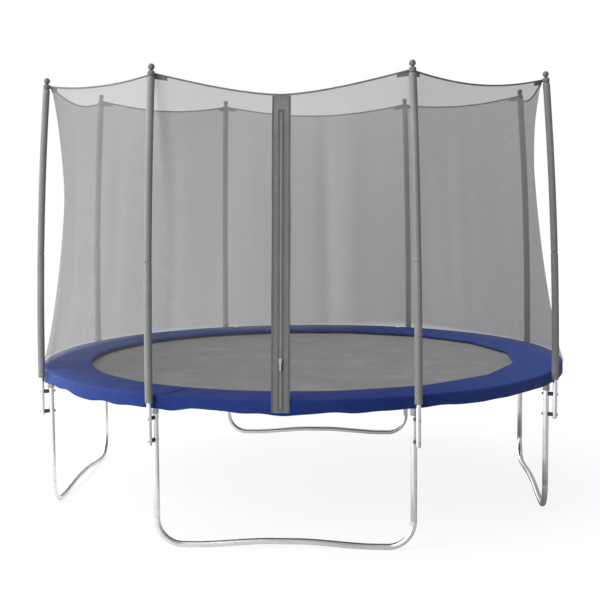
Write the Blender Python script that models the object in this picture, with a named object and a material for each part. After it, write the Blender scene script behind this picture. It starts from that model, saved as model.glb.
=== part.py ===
# Round garden trampoline with four W-shaped legs and a net enclosure on eight poles.
# Metres, +Z up, the floor at Z = 0 and the vertical centre line through the origin.
# Azimuths are in degrees, measured from the front (-Y) towards the right (+X).

import math

import bmesh
import bpy
from mathutils import Matrix, Vector

# Frame ring
RAIL_CIRCLE_RADIUS = 1.511
RAIL_HEIGHT = 0.733
RAIL_TUBE_RADIUS = 0.0165
RAIL_WALL = 0.0015
RAIL_SWAGE_LENGTH = 0.060
RAIL_STEP_DEGREES = 5.0

# Legs
LEG_TUBE_RADIUS = 0.0155
LEG_WALL = 0.0015
LEG_SPREAD_DEGREES = 25.0
SOCKET_WALL = 0.0025
SOCKET_LENGTH = 0.058
LEG_JOINT_RISE = 0.002
LEG_SWAGE_LENGTH = 0.060
BASE_BEND_RADIUS = 0.130
BASE_BEND_STEPS = 4
BASE_FLAT_LENGTH = 0.090
BASE_MIDDLE_LENGTH = 0.200
BASE_MIDDLE_RISE = 0.022

# Enclosure poles; the heights count from the middle of the frame ring
POLE_NET_GAP = 0.0030
POLE_TUBE_RADIUS = 0.0125
POLE_WALL = 0.0015
POLE_FOOT_DROP = 0.209
POLE_BEND_DROP = 0.053
POLE_BEND_RADIUS = 19.3
POLE_BEND_STEPS = 5
POLE_TOP_RISE = 1.591
SLEEVE_WALL = 0.0075
SLEEVE_FOOT_RISE = 0.003
CAP_BORE_DEPTH = 0.014
CAP_COLLAR_WALL = 0.0015
CAP_COLLAR_HEIGHT = 0.0265
CAP_SHOULDER_HEIGHT = 0.004
CAP_NECK_RADIUS = 0.0085
CAP_BALL_RADIUS = 0.0165
CAP_BALL_HEIGHT = 0.046

# Bolts that hold a pole to its leg
BOLT_DROPS = (0.188, 0.076)
BOLT_RADIUS = 0.004
BOLT_HEAD_RADIUS = 0.0075
BOLT_HEAD_THICKNESS = 0.006
SPACER_RADIUS = 0.011

# Jumping mat, springs and spring pad; the heights count from the middle of the frame ring
SPRING_REACH = 0.176
MAT_THICKNESS = 0.004
MAT_RISE = 0.012
SPRINGS_PER_RAIL = 8
SPRING_WIDTH = 0.010
SPRING_RING_WIDTH = 0.008
PAD_WIDTH = 0.276
PAD_THICKNESS = 0.0255
PAD_INNER_DROP = 0.004
PAD_EDGE_BEVEL = 0.008
SKIRT_DROP = 0.0204
SKIRT_GAP = 0.0011
CLOTH_THICKNESS = 0.003

# Enclosure net
NET_CORNER_RISE = 0.012
NET_COLLAR_GAP = 0.0055
NET_HEM_DROP = 0.018
NET_FOLD_RISE = 0.004
NET_WAIST = 0.066
NET_WAIST_POWER = 0.8
NET_SAG_FRONT = 0.110
NET_SAG_WIDE = 0.070
NET_SAG_NARROW = 0.040
NET_STEP_DEGREES = 5.0
NET_ROWS = 6
ROPE_RADIUS = 0.003
ROPE_GAP = 0.002

# Door in the net
DOOR_BAND_WIDTH = 0.090
DOOR_BAND_THICKNESS = 0.004
SLIDER_RISE = 0.1805
SLIDER_SIZE = (0.014, 0.006, 0.024)
EAR_THICKNESS = 0.0025
EAR_LENGTH = 0.006
EAR_RISE = 0.0065
PIN_RISE = 0.0042
PIN_RADIUS = 0.0011
PULL_THICKNESS = 0.003
PULL_LENGTH = 0.045
PULL_EYE_WALL = 0.0008

# Clearances
TOUCH_GAP = 0.0005
RUN_GAP = 0.0005
FIT_GAP = 0.0004
UPRIGHT_TOP_GAP = 0.002
BOLT_HOLE_GAP = 0.0008
CUT_MARGIN = 0.010

TUBE_SIDES = 8
SMALL_SIDES = 6

FULL_TURN = 360.0
HEM = -1.0
CORNERS = {
    "front_right": LEG_SPREAD_DEGREES,
    "right_front": 90.0 - LEG_SPREAD_DEGREES,
    "right_back": 90.0 + LEG_SPREAD_DEGREES,
    "back_right": 180.0 - LEG_SPREAD_DEGREES,
    "back_left": 180.0 + LEG_SPREAD_DEGREES,
    "left_back": 270.0 - LEG_SPREAD_DEGREES,
    "left_front": 270.0 + LEG_SPREAD_DEGREES,
    "front_left": 360.0 - LEG_SPREAD_DEGREES,
}
SIDES = {"front": 0.0, "right": 90.0, "back": 180.0, "left": 270.0}

# What follows from those sizes, from the ring outwards
SLEEVE_RADIUS = POLE_TUBE_RADIUS + RUN_GAP + SLEEVE_WALL
CAP_COLLAR_RADIUS = POLE_TUBE_RADIUS + RUN_GAP + CAP_COLLAR_WALL
SOCKET_REACH = (LEG_TUBE_RADIUS + RUN_GAP + SOCKET_WALL) * math.cos(math.pi / TUBE_SIDES)
SKIRT_INNER_RADIUS = RAIL_CIRCLE_RADIUS + max(RAIL_TUBE_RADIUS, SOCKET_REACH) + SKIRT_GAP
SKIRT_OUTER_RADIUS = SKIRT_INNER_RADIUS + CLOTH_THICKNESS
NET_BOTTOM_RADIUS = (
    (SKIRT_OUTER_RADIUS + TOUCH_GAP) / math.cos(math.radians(NET_STEP_DEGREES / 2)) + CLOTH_THICKNESS / 2
)
POLE_CIRCLE_RADIUS = NET_BOTTOM_RADIUS + CLOTH_THICKNESS / 2 + POLE_NET_GAP + SLEEVE_RADIUS
POLE_BEND_START = RAIL_HEIGHT - POLE_BEND_DROP
CAP_BASE_HEIGHT = RAIL_HEIGHT + POLE_TOP_RISE
MAT_RADIUS = RAIL_CIRCLE_RADIUS - SPRING_REACH
PAD_INNER_RADIUS = SKIRT_OUTER_RADIUS - PAD_WIDTH
PAD_BOTTOM = RAIL_HEIGHT + RAIL_TUBE_RADIUS + TOUCH_GAP
PAD_TOP = PAD_BOTTOM + PAD_THICKNESS
NET_FOLD_HEIGHT = PAD_TOP + NET_FOLD_RISE
NET_HEM_HEIGHT = RAIL_HEIGHT - NET_HEM_DROP
NET_TOP_HEIGHT = CAP_BASE_HEIGHT + NET_CORNER_RISE


# Helpers

def polar(radius, azimuth, height):
    angle = math.radians(azimuth)
    return Vector((radius * math.sin(angle), -radius * math.cos(angle), height))


def outward(azimuth):
    return polar(1.0, azimuth, 0.0)


def sideways(azimuth):
    return polar(1.0, azimuth + 90.0, 0.0)


def steps(start, stop, count):
    return [start + (stop - start) * i / count for i in range(count + 1)]


def new_material(name, colour, roughness, metallic):
    material = bpy.data.materials.new(name)
    material.use_nodes = True
    shader = material.node_tree.nodes["Principled BSDF"]
    shader.inputs["Base Color"].default_value = (*colour, 1.0)
    shader.inputs["Roughness"].default_value = roughness
    shader.inputs["Metallic"].default_value = metallic
    return material


def finish_mesh(bm, name, material):
    bmesh.ops.recalc_face_normals(bm, faces=bm.faces)
    mesh = bpy.data.meshes.new(name)
    bm.to_mesh(mesh)
    bm.free()
    mesh.materials.append(material)
    mesh.shade_smooth()
    mesh.set_sharp_from_angle(angle=math.radians(50))
    return mesh


def place(name, mesh, location=(0, 0, 0), turn=0.0, parent=None):
    piece = bpy.data.objects.new(name, mesh)
    piece.location = location
    piece.rotation_euler = (0, 0, math.radians(turn))
    piece.parent = parent
    bpy.context.collection.objects.link(piece)
    return piece


def new_empty(name, location=(0, 0, 0)):
    empty = bpy.data.objects.new(name, None)
    empty.empty_display_size = 0.2
    empty.location = location
    bpy.context.collection.objects.link(empty)
    return empty


def ring_points(centre, side, up, radius, sides):
    # A flat of the polygon faces each of the two directions.
    points = []
    for i in range(sides):
        angle = 2 * math.pi * (i + 0.5) / sides
        points.append(centre + side * (radius * math.cos(angle)) + up * (radius * math.sin(angle)))
    return points


def bridge(bm, first, second):
    count = len(first)
    for i in range(count):
        bm.faces.new((first[i], first[(i + 1) % count], second[(i + 1) % count], second[i]))


def tube_mesh(name, stations, material, sides=TUBE_SIDES):
    # Each station is (centre, side, up, outer radius, inner radius); no inner radius makes a solid bar.
    bm = bmesh.new()
    outer = [[bm.verts.new(p) for p in ring_points(c, s, u, ro, sides)] for c, s, u, ro, ri in stations]
    for first, second in zip(outer, outer[1:]):
        bridge(bm, first, second)
    if stations[0][4] is None:
        bm.faces.new(outer[0])
        bm.faces.new(outer[-1])
    else:
        inner = [[bm.verts.new(p) for p in ring_points(c, s, u, ri, sides)] for c, s, u, ro, ri in stations]
        for first, second in zip(inner, inner[1:]):
            bridge(bm, first, second)
        bridge(bm, outer[0], inner[0])
        bridge(bm, outer[-1], inner[-1])
    return finish_mesh(bm, name, material)


def turned_mesh(name, profile, origin, side, up, material, sides=TUBE_SIDES):
    # profile is a list of (radius, distance along side x up); it starts and ends on the axis.
    axis = side.cross(up)
    bm = bmesh.new()
    start = bm.verts.new(origin + axis * profile[0][1])
    stop = bm.verts.new(origin + axis * profile[-1][1])
    rings = [
        [bm.verts.new(p) for p in ring_points(origin + axis * along, side, up, radius, sides)]
        for radius, along in profile[1:-1]
    ]
    for first, second in zip(rings, rings[1:]):
        bridge(bm, first, second)
    for i in range(sides):
        bm.faces.new((start, rings[0][i], rings[0][(i + 1) % sides]))
        bm.faces.new((stop, rings[-1][i], rings[-1][(i + 1) % sides]))
    return finish_mesh(bm, name, material)


def closed_ring_mesh(name, profile, azimuths, material):
    # profile is a closed loop of (radius, height), swept once round the centre line.
    bm = bmesh.new()
    loops = [[bm.verts.new(polar(r, a, z)) for r, z in profile] for a in azimuths]
    for i, loop in enumerate(loops):
        bridge(bm, loop, loops[(i + 1) % len(loops)])
    return finish_mesh(bm, name, material)


def box_mesh(name, low, high, material):
    bm = bmesh.new()
    bmesh.ops.create_cube(bm, size=1.0)
    low, high = Vector(low), Vector(high)
    size = high - low
    for vert in bm.verts:
        vert.co = (low + high) / 2 + Vector((vert.co.x * size.x, vert.co.y * size.y, vert.co.z * size.z))
    return finish_mesh(bm, name, material)


def combine(mesh, others, operation):
    # Joins or cuts the mesh with each of the others and returns one new mesh.
    body = place("work_piece", mesh)
    tools = []
    for other in others:
        tool = place("work_tool", other)
        tools.append(tool)
        modifier = body.modifiers.new("Boolean", "BOOLEAN")
        modifier.operation = operation
        modifier.object = tool
        modifier.solver = "EXACT"
    graph = bpy.context.evaluated_depsgraph_get()
    result = bpy.data.meshes.new_from_object(body.evaluated_get(graph))
    result.name = mesh.name
    for used in [body] + tools:
        bpy.data.objects.remove(used)
    return result


# Frame ring

def rail_stations(start, radius, swage_radius, shoulder=0.0):
    # One eighth of the ring, and its reduced end, which follows the first chord of the next rail.
    # The radius changes at the joint, or by the length of the shoulder before it.
    up = Vector((0, 0, 1))
    count = round(45 / RAIL_STEP_DEGREES)
    joint = start + 45
    stations = []
    for azimuth in steps(start, joint, count):
        stations.append((polar(RAIL_CIRCLE_RADIUS, azimuth, RAIL_HEIGHT), outward(azimuth), up, radius, None))
    end = stations.pop()[0]
    side = outward(joint)
    before = end + (stations[-1][0] - end).normalized() * shoulder
    ahead = (polar(RAIL_CIRCLE_RADIUS, joint + RAIL_STEP_DEGREES, RAIL_HEIGHT) - end).normalized()
    stations.append((before, side, up, radius, None))
    stations.append((before, side, up, swage_radius, None))
    if shoulder:
        stations.append((end, side, up, swage_radius, None))
    stations.append((end + ahead * RAIL_SWAGE_LENGTH, side, up, swage_radius, None))
    return stations


def stretched(stations, extra):
    # Lengthens a run at both ends, so that it cuts cleanly through them.
    first, last = stations[0], stations[-1]
    back = (first[0] - stations[1][0]).normalized() * extra
    on = (last[0] - stations[-2][0]).normalized() * extra
    return [(first[0] + back, *first[1:])] + stations[1:-1] + [(last[0] + on, *last[1:])]


def rail_mesh(name, start, socket_azimuth, material):
    bore_radius = RAIL_TUBE_RADIUS - RAIL_WALL
    swage_radius = bore_radius - FIT_GAP
    run = rail_stations(start, RAIL_TUBE_RADIUS, swage_radius)
    # The mouth keeps a gap to the shoulder of the rail before it.
    mouth = run[0][0] + (run[1][0] - run[0][0]).normalized() * TOUCH_GAP
    run[0] = (mouth, *run[0][1:])
    bar = tube_mesh(name, run, material)
    bore_run = rail_stations(start, bore_radius, swage_radius - RAIL_WALL, 2 * RAIL_WALL)
    hollow = tube_mesh("rail_bore", stretched(bore_run, CUT_MARGIN), material)

    side, up = outward(socket_azimuth), sideways(socket_azimuth)
    socket_bottom = RAIL_HEIGHT - SOCKET_LENGTH
    foot = polar(RAIL_CIRCLE_RADIUS, socket_azimuth, socket_bottom)
    lift = Vector((0, 0, 1))
    socket_radius = LEG_TUBE_RADIUS + RUN_GAP
    stub = tube_mesh("stub", [
        (foot, side, up, socket_radius + SOCKET_WALL, None),
        (foot + lift * SOCKET_LENGTH, side, up, socket_radius + SOCKET_WALL, None),
    ], material)
    stub_bore = tube_mesh("stub_bore", [
        (foot - lift * CUT_MARGIN, side, up, socket_radius, None),
        (foot + lift * (upright_top() + TOUCH_GAP - socket_bottom), side, up, socket_radius, None),
    ], material)
    return combine(combine(bar, [stub], "UNION"), [hollow, stub_bore], "DIFFERENCE")


# Legs

def upright_top():
    return RAIL_HEIGHT - RAIL_TUBE_RADIUS - UPRIGHT_TOP_GAP


def base_floor_height():
    # The middle of the floor bar where it stands on a flat of its outside.
    return LEG_TUBE_RADIUS * math.cos(math.pi / TUBE_SIDES)


def leg_joint_height():
    # The uprights slip over the base just above its bends.
    return base_floor_height() + BASE_BEND_RADIUS + LEG_JOINT_RISE


def upright_mesh(name, material):
    # A straight tube, made in front, with two cross holes for the pole's bolts.
    side, up = outward(0), sideways(0)
    inner = LEG_TUBE_RADIUS - LEG_WALL
    bottom = leg_joint_height() + TOUCH_GAP
    tube = tube_mesh(name, [
        (polar(RAIL_CIRCLE_RADIUS, 0, bottom), side, up, LEG_TUBE_RADIUS, inner),
        (polar(RAIL_CIRCLE_RADIUS, 0, upright_top()), side, up, LEG_TUBE_RADIUS, inner),
    ], material)
    drills = []
    for drop in BOLT_DROPS:
        reach = LEG_TUBE_RADIUS + CUT_MARGIN
        hole = BOLT_RADIUS + BOLT_HOLE_GAP
        drills.append(tube_mesh("drill", [
            (polar(RAIL_CIRCLE_RADIUS + x, 0, RAIL_HEIGHT - drop), sideways(0), Vector((0, 0, 1)), hole, None)
            for x in (-reach, reach)
        ], material, SMALL_SIDES))
    return combine(tube, drills, "DIFFERENCE")


def base_path():
    # (distance from the leg's middle, height, direction of the tube's upper side as an angle)
    # for the right half, from the top of the bend down to the raised middle of the floor bar.
    half = RAIL_CIRCLE_RADIUS * math.sin(math.radians(LEG_SPREAD_DEGREES))
    floor = base_floor_height()
    corner = half - BASE_BEND_RADIUS
    path = []
    for angle in steps(0, 90, BASE_BEND_STEPS):
        turn = math.radians(angle)
        x = corner + BASE_BEND_RADIUS * math.cos(turn)
        z = floor + BASE_BEND_RADIUS * (1 - math.sin(turn))
        path.append((x, z, turn))
    upright = math.pi / 2
    path.append((corner - BASE_FLAT_LENGTH, floor, upright))
    path.append((BASE_MIDDLE_LENGTH / 2, floor + BASE_MIDDLE_RISE, upright))
    return half, path


def base_mesh(name, material):
    # The bent tube between two uprights, made in front; its floor bar is low near the bends.
    # The uprights are turned against it, so its ends fit inside their flats.
    side = outward(0)
    inner = LEG_TUBE_RADIUS - LEG_WALL
    swage = inner * math.cos(math.pi / TUBE_SIDES) - FIT_GAP
    depth = RAIL_CIRCLE_RADIUS * math.cos(math.radians(LEG_SPREAD_DEGREES))
    half, path = base_path()

    def at(x, z):
        return Vector((x, -depth, z))

    top = leg_joint_height()
    run = [
        (at(half, top + LEG_SWAGE_LENGTH), Vector((-1, 0, 0)), swage, swage - LEG_WALL),
        (at(half, top), Vector((-1, 0, 0)), swage, swage - LEG_WALL),
        (at(half, top), Vector((-1, 0, 0)), LEG_TUBE_RADIUS, swage - LEG_WALL),
    ]
    for x, z, turn in path:
        run.append((at(x, z), Vector((-math.cos(turn), 0, math.sin(turn))), LEG_TUBE_RADIUS, inner))
    mirrored = []
    for centre, up, outer, bore in reversed(run):
        mirrored.append((Vector((-centre.x, centre.y, centre.z)), Vector((-up.x, up.y, up.z)), outer, bore))
    stations = [(centre, side, up, outer, bore) for centre, up, outer, bore in run + mirrored]
    return tube_mesh(name, stations, material)


# Enclosure poles

def pole_lean(height):
    # The pole's angle and its distance from the centre line: upright to the bend, then a wide arc inwards.
    if height <= POLE_BEND_START:
        return 0.0, POLE_CIRCLE_RADIUS
    lean = math.asin((height - POLE_BEND_START) / POLE_BEND_RADIUS)
    return lean, POLE_CIRCLE_RADIUS - POLE_BEND_RADIUS * (1 - math.cos(lean))


def pole_point(height):
    # Centre, side and up of the pole in front.
    lean, radius = pole_lean(height)
    inwards = Vector((0, math.cos(lean), -math.sin(lean)))
    return polar(radius, 0, height), sideways(0), inwards


def pole_run(low, high, outer, inner):
    heights = [low]
    if low < POLE_BEND_START:
        heights.append(POLE_BEND_START)
    heights += steps(max(low, POLE_BEND_START), high, POLE_BEND_STEPS)[1:]
    run = []
    for height in heights:
        centre, side, up = pole_point(height)
        run.append((centre, side, up, outer, inner))
    return run


def bolt_profile():
    # (radius, distance from the centre line) of nut, bolt, spacer and head, from the inside out.
    leg_in = RAIL_CIRCLE_RADIUS - LEG_TUBE_RADIUS
    leg_out = RAIL_CIRCLE_RADIUS + LEG_TUBE_RADIUS
    wall_middle = (POLE_TUBE_RADIUS - POLE_WALL / 2) * math.cos(math.pi / TUBE_SIDES)
    spacer_end = POLE_CIRCLE_RADIUS - wall_middle
    head_start = POLE_CIRCLE_RADIUS + wall_middle
    head_end = POLE_CIRCLE_RADIUS + POLE_TUBE_RADIUS + BOLT_HEAD_THICKNESS
    nut_end = leg_in - TOUCH_GAP
    nut_start = nut_end - BOLT_HEAD_THICKNESS
    return [
        (0, nut_start), (BOLT_HEAD_RADIUS, nut_start), (BOLT_HEAD_RADIUS, nut_end),
        (BOLT_RADIUS, nut_end), (BOLT_RADIUS, leg_out + TOUCH_GAP),
        (SPACER_RADIUS, leg_out + TOUCH_GAP), (SPACER_RADIUS, spacer_end),
        (BOLT_RADIUS, spacer_end), (BOLT_RADIUS, head_start),
        (BOLT_HEAD_RADIUS, head_start), (BOLT_HEAD_RADIUS, head_end), (0, head_end),
    ]


def pole_mesh(name, material):
    top = CAP_BASE_HEIGHT + CAP_BORE_DEPTH - TOUCH_GAP
    foot = RAIL_HEIGHT - POLE_FOOT_DROP
    run = pole_run(foot, top, POLE_TUBE_RADIUS, POLE_TUBE_RADIUS - POLE_WALL)
    tube = tube_mesh(name, run, material)
    side, up = sideways(0), Vector((0, 0, 1))
    bolts = []
    for drop in BOLT_DROPS:
        centre = Vector((0, 0, RAIL_HEIGHT - drop))
        bolts.append(turned_mesh("bolt", bolt_profile(), centre, side, up, material, SMALL_SIDES))
    return combine(tube, bolts, "UNION")


def sleeve_mesh(name, material):
    bore = POLE_TUBE_RADIUS + RUN_GAP
    foot = RAIL_HEIGHT + SLEEVE_FOOT_RISE
    run = pole_run(foot, CAP_BASE_HEIGHT - TOUCH_GAP, SLEEVE_RADIUS, bore)
    return tube_mesh(name, run, material)


def cap_mesh(name, material):
    # A collar with a bore for the pole's end, a neck and a ball.
    centre, side, up = pole_point(CAP_BASE_HEIGHT)
    bore = POLE_TUBE_RADIUS + RUN_GAP
    profile = [
        (0, CAP_BORE_DEPTH), (bore, CAP_BORE_DEPTH), (bore, 0), (CAP_COLLAR_RADIUS, 0),
        (CAP_COLLAR_RADIUS, CAP_COLLAR_HEIGHT), (CAP_NECK_RADIUS, CAP_COLLAR_HEIGHT + CAP_SHOULDER_HEIGHT),
    ]
    low = math.asin(CAP_NECK_RADIUS / CAP_BALL_RADIUS)
    for angle in steps(low, math.pi, 5)[:-1]:
        lift = CAP_BALL_HEIGHT - CAP_BALL_RADIUS * math.cos(angle)
        profile.append((CAP_BALL_RADIUS * math.sin(angle), lift))
    profile.append((0, CAP_BALL_HEIGHT + CAP_BALL_RADIUS))
    return turned_mesh(name, profile, centre, side, up, material)


# Mat, springs and pad

def mat_mesh(name, material):
    # A flat disc whose own origin is at the middle of its top.
    count = round(FULL_TURN / NET_STEP_DEGREES)
    bm = bmesh.new()
    bmesh.ops.create_cone(bm, cap_ends=True, segments=count, radius1=MAT_RADIUS, radius2=MAT_RADIUS,
                          depth=MAT_THICKNESS)
    bmesh.ops.translate(bm, verts=bm.verts, vec=(0, 0, -MAT_THICKNESS / 2))
    return finish_mesh(bm, name, material)


def springs_mesh(name, material):
    # A thin ring at the mat's edge with one straight bar for each spring, out to the frame ring.
    count = 8 * SPRINGS_PER_RAIL
    pitch = FULL_TURN / count
    inner = MAT_RADIUS + 2 * TOUCH_GAP
    outer = inner + SPRING_RING_WIDTH
    rail_side = (RAIL_CIRCLE_RADIUS - RAIL_TUBE_RADIUS) * math.cos(math.radians(RAIL_STEP_DEGREES / 2))
    reach = min(rail_side, RAIL_CIRCLE_RADIUS - SOCKET_REACH) - TOUCH_GAP
    half = math.degrees(SPRING_WIDTH / 2 / outer)
    low = RAIL_HEIGHT - SPRING_WIDTH / 2
    high = RAIL_HEIGHT + SPRING_WIDTH / 2
    profile = [(inner, low), (outer, low), (outer, high), (inner, high)]
    bm = bmesh.new()
    loops = []
    for i in range(count):
        middle = (i + 0.5) * pitch
        for azimuth in (middle - half, middle + half):
            loops.append([bm.verts.new(polar(r, azimuth, z)) for r, z in profile])
    for i, loop in enumerate(loops):
        bridge(bm, loop, loops[(i + 1) % len(loops)])
    for i in range(count):
        first, second = loops[2 * i], loops[2 * i + 1]
        root = bm.faces.get((first[1], first[2], second[2], second[1]))
        tip = bmesh.ops.extrude_discrete_faces(bm, faces=[root])["faces"][0]
        bmesh.ops.translate(bm, verts=tip.verts, vec=outward((i + 0.5) * pitch) * (reach - outer))
    return finish_mesh(bm, name, material)


def pad_mesh(name, material):
    # A foam ring over springs and rail, with a skirt down the outside.
    edge = PAD_EDGE_BEVEL
    profile = [
        (PAD_INNER_RADIUS, PAD_BOTTOM), (PAD_INNER_RADIUS, PAD_TOP - PAD_INNER_DROP - edge / 2),
        (PAD_INNER_RADIUS + edge, PAD_TOP - PAD_INNER_DROP), (SKIRT_OUTER_RADIUS - edge, PAD_TOP),
        (SKIRT_OUTER_RADIUS, PAD_TOP - edge), (SKIRT_OUTER_RADIUS, RAIL_HEIGHT - SKIRT_DROP),
        (SKIRT_INNER_RADIUS, RAIL_HEIGHT - SKIRT_DROP), (SKIRT_INNER_RADIUS, PAD_BOTTOM),
    ]
    count = round(FULL_TURN / RAIL_STEP_DEGREES)
    return closed_ring_mesh(name, profile, [i * RAIL_STEP_DEGREES for i in range(count)], material)


# Net and door

def bays():
    # (name, middle azimuth, half angle, sag of the top edge) of each stretch between two poles
    wide = LEG_SPREAD_DEGREES
    narrow = 45.0 - LEG_SPREAD_DEGREES
    found = []
    for name, azimuth in SIDES.items():
        found.append((name, azimuth, wide, NET_SAG_FRONT if name == "front" else NET_SAG_WIDE))
    between = {"right_front": 45.0, "right_back": 135.0, "left_back": 225.0, "left_front": 315.0}
    for name, azimuth in between.items():
        found.append((name, azimuth, narrow, NET_SAG_NARROW))
    return found


def net_top_radius():
    # The net's top corners hang just inside the caps' collars.
    return pole_lean(NET_TOP_HEIGHT)[1] - CAP_COLLAR_RADIUS - NET_COLLAR_GAP


def net_point(middle, half, sag, across, rise, depth=0.0):
    # across is the azimuth from the bay's middle, rise goes from 0 at the pad's edge to 1 at the rope.
    # Below the pad's edge the net hangs straight down its skirt to the hem, which is any rise under 0.
    if rise < 0:
        return polar(NET_BOTTOM_RADIUS + depth, middle + across, NET_HEM_HEIGHT)
    share = across / half
    top_height = NET_TOP_HEIGHT - sag * (1 - share * share)
    top_radius = net_top_radius() * math.cos(math.radians(half)) / math.cos(math.radians(across))
    waist = NET_WAIST * share * share * max(math.sin(math.pi * rise), 0.0) ** NET_WAIST_POWER
    radius = NET_BOTTOM_RADIUS + (top_radius - NET_BOTTOM_RADIUS) * rise - waist
    height = NET_FOLD_HEIGHT + (top_height - NET_FOLD_HEIGHT) * rise
    return polar(radius + depth, middle + across, height)


def net_mesh(name, bay, columns, material):
    # columns is a function of the rise that gives the azimuths across the bay.
    middle, half, sag = bay
    bm = bmesh.new()
    sheets = []
    for depth in (-CLOTH_THICKNESS / 2, CLOTH_THICKNESS / 2):
        sheets.append([
            [bm.verts.new(net_point(middle, half, sag, across, rise, depth)) for across in columns(rise)]
            for rise in [HEM] + steps(0.0, 1.0, NET_ROWS)
        ])
    for sheet in sheets:
        for low, high in zip(sheet, sheet[1:]):
            for i in range(len(low) - 1):
                bm.faces.new((low[i], low[i + 1], high[i + 1], high[i]))
    loops = []
    for sheet in sheets:
        right = [row[-1] for row in sheet[1:-1]]
        left = [row[0] for row in sheet[-2:0:-1]]
        loops.append(sheet[0] + right + sheet[-1][::-1] + left)
    bridge(bm, loops[0], loops[1])
    return finish_mesh(bm, name, material)


def net_panels(material):
    panels = {}
    gap = math.degrees(TOUCH_GAP / net_top_radius())
    for name, middle, half, sag in bays():
        count = round(2 * half / NET_STEP_DEGREES)
        bay = (middle, half, sag)
        if name != "front":
            panels["net_panel_" + name] = net_mesh(
                "net_panel_" + name, bay, lambda rise, h=half, n=count: steps(gap - h, h - gap, n), material)
            continue

        def beside_door(rise, sign, h=half, n=count, b=bay):
            clear = DOOR_BAND_WIDTH / 2 + TOUCH_GAP
            start = math.degrees(math.asin(clear / abs(net_point(*b, 0.0, rise).y)))
            return sorted(sign * across for across in steps(start, h - gap, n // 2))

        for side, sign in (("left", -1), ("right", 1)):
            panels["net_panel_front_" + side] = net_mesh(
                "net_panel_front_" + side, bay, lambda rise, s=sign: beside_door(rise, s), material)
    return panels


def band_line():
    # The middle of the door band at its hem, at the pad's edge and at the rope.
    front = [bay[1:] for bay in bays() if bay[0] == "front"][0]
    return [net_point(*front, 0.0, rise) for rise in (HEM, 0.0, 1.0)]


def band_frame():
    # The fold at the pad's edge, the direction up the leaning part and its outward normal.
    hem, fold, top = band_line()
    up = (top - fold).normalized()
    return fold, up, up.cross(Vector((1, 0, 0))) * -1


def band_mesh(name, material):
    half = DOOR_BAND_WIDTH / 2
    deep = DOOR_BAND_THICKNESS / 2
    bm = bmesh.new()
    rows = []
    for middle in band_line():
        rows.append([
            bm.verts.new(middle + Vector((x, d, 0)))
            for x, d in ((-half, -deep), (half, -deep), (half, deep), (-half, deep))
        ])
    for low, high in zip(rows, rows[1:]):
        bridge(bm, low, high)
    bm.faces.new(rows[0])
    bm.faces.new(rows[-1])
    return finish_mesh(bm, name, material)


def rope_mesh(name, material):
    # One loop of rope from pole to pole, just above the net's top edge.
    lift = ROPE_RADIUS + ROPE_GAP
    centres = []
    for bay, middle, half, sag in sorted(bays(), key=lambda found: found[1]):
        for across in steps(-half, half, round(2 * half / NET_STEP_DEGREES))[:-1]:
            centres.append(net_point(middle, half, sag, across, 1.0) + Vector((0, 0, lift)))
    bm = bmesh.new()
    rings = []
    for i, centre in enumerate(centres):
        side = Vector((centre.x, centre.y, 0)).normalized()
        points = ring_points(centre, side, Vector((0, 0, 1)), ROPE_RADIUS, SMALL_SIDES)
        rings.append([bm.verts.new(p) for p in points])
    for i, ring in enumerate(rings):
        bridge(bm, ring, rings[(i + 1) % len(rings)])
    return finish_mesh(bm, name, material)


def slider_mesh(name, material):
    # Own axes: X across the band, -Y out of it, Z up the band; the origin is the middle of its back.
    width, depth, length = SLIDER_SIZE
    body = box_mesh(name, (-width / 2, -depth, -length / 2), (width / 2, 0, length / 2), material)
    ears = []
    for sign in (-1, 1):
        edges = sorted((sign * (width / 2 - EAR_THICKNESS), sign * width / 2))
        ears.append(box_mesh("ear", (edges[0], -depth - EAR_RISE, -EAR_LENGTH / 2),
                             (edges[1], -depth / 2, EAR_LENGTH / 2), material))
    centre = pin_place()
    reach = width / 2 - EAR_THICKNESS / 2
    pin = tube_mesh("pin", [
        (centre + Vector((x, 0, 0)), Vector((0, 1, 0)), Vector((0, 0, 1)), PIN_RADIUS, None)
        for x in (-reach, reach)
    ], material)
    return combine(body, ears + [pin], "UNION")


def pin_place():
    return Vector((0, -SLIDER_SIZE[1] - PIN_RISE, 0))


def pull_mesh(name, material):
    # A tab that hangs from the slider's pin; its origin is on the pin's axis.
    half = SLIDER_SIZE[0] / 2 - EAR_THICKNESS - RUN_GAP
    deep = PULL_THICKNESS / 2
    eye = PIN_RADIUS + RUN_GAP / 2
    tab = box_mesh(name, (-half, -deep, -PULL_LENGTH), (half, deep, eye + PULL_EYE_WALL), material)
    drill = tube_mesh("drill", [
        (Vector((x, 0, 0)), Vector((0, 1, 0)), Vector((0, 0, 1)), eye, None)
        for x in (-SLIDER_SIZE[0], SLIDER_SIZE[0])
    ], material)
    return combine(tab, [drill], "DIFFERENCE")


# The whole object

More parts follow.
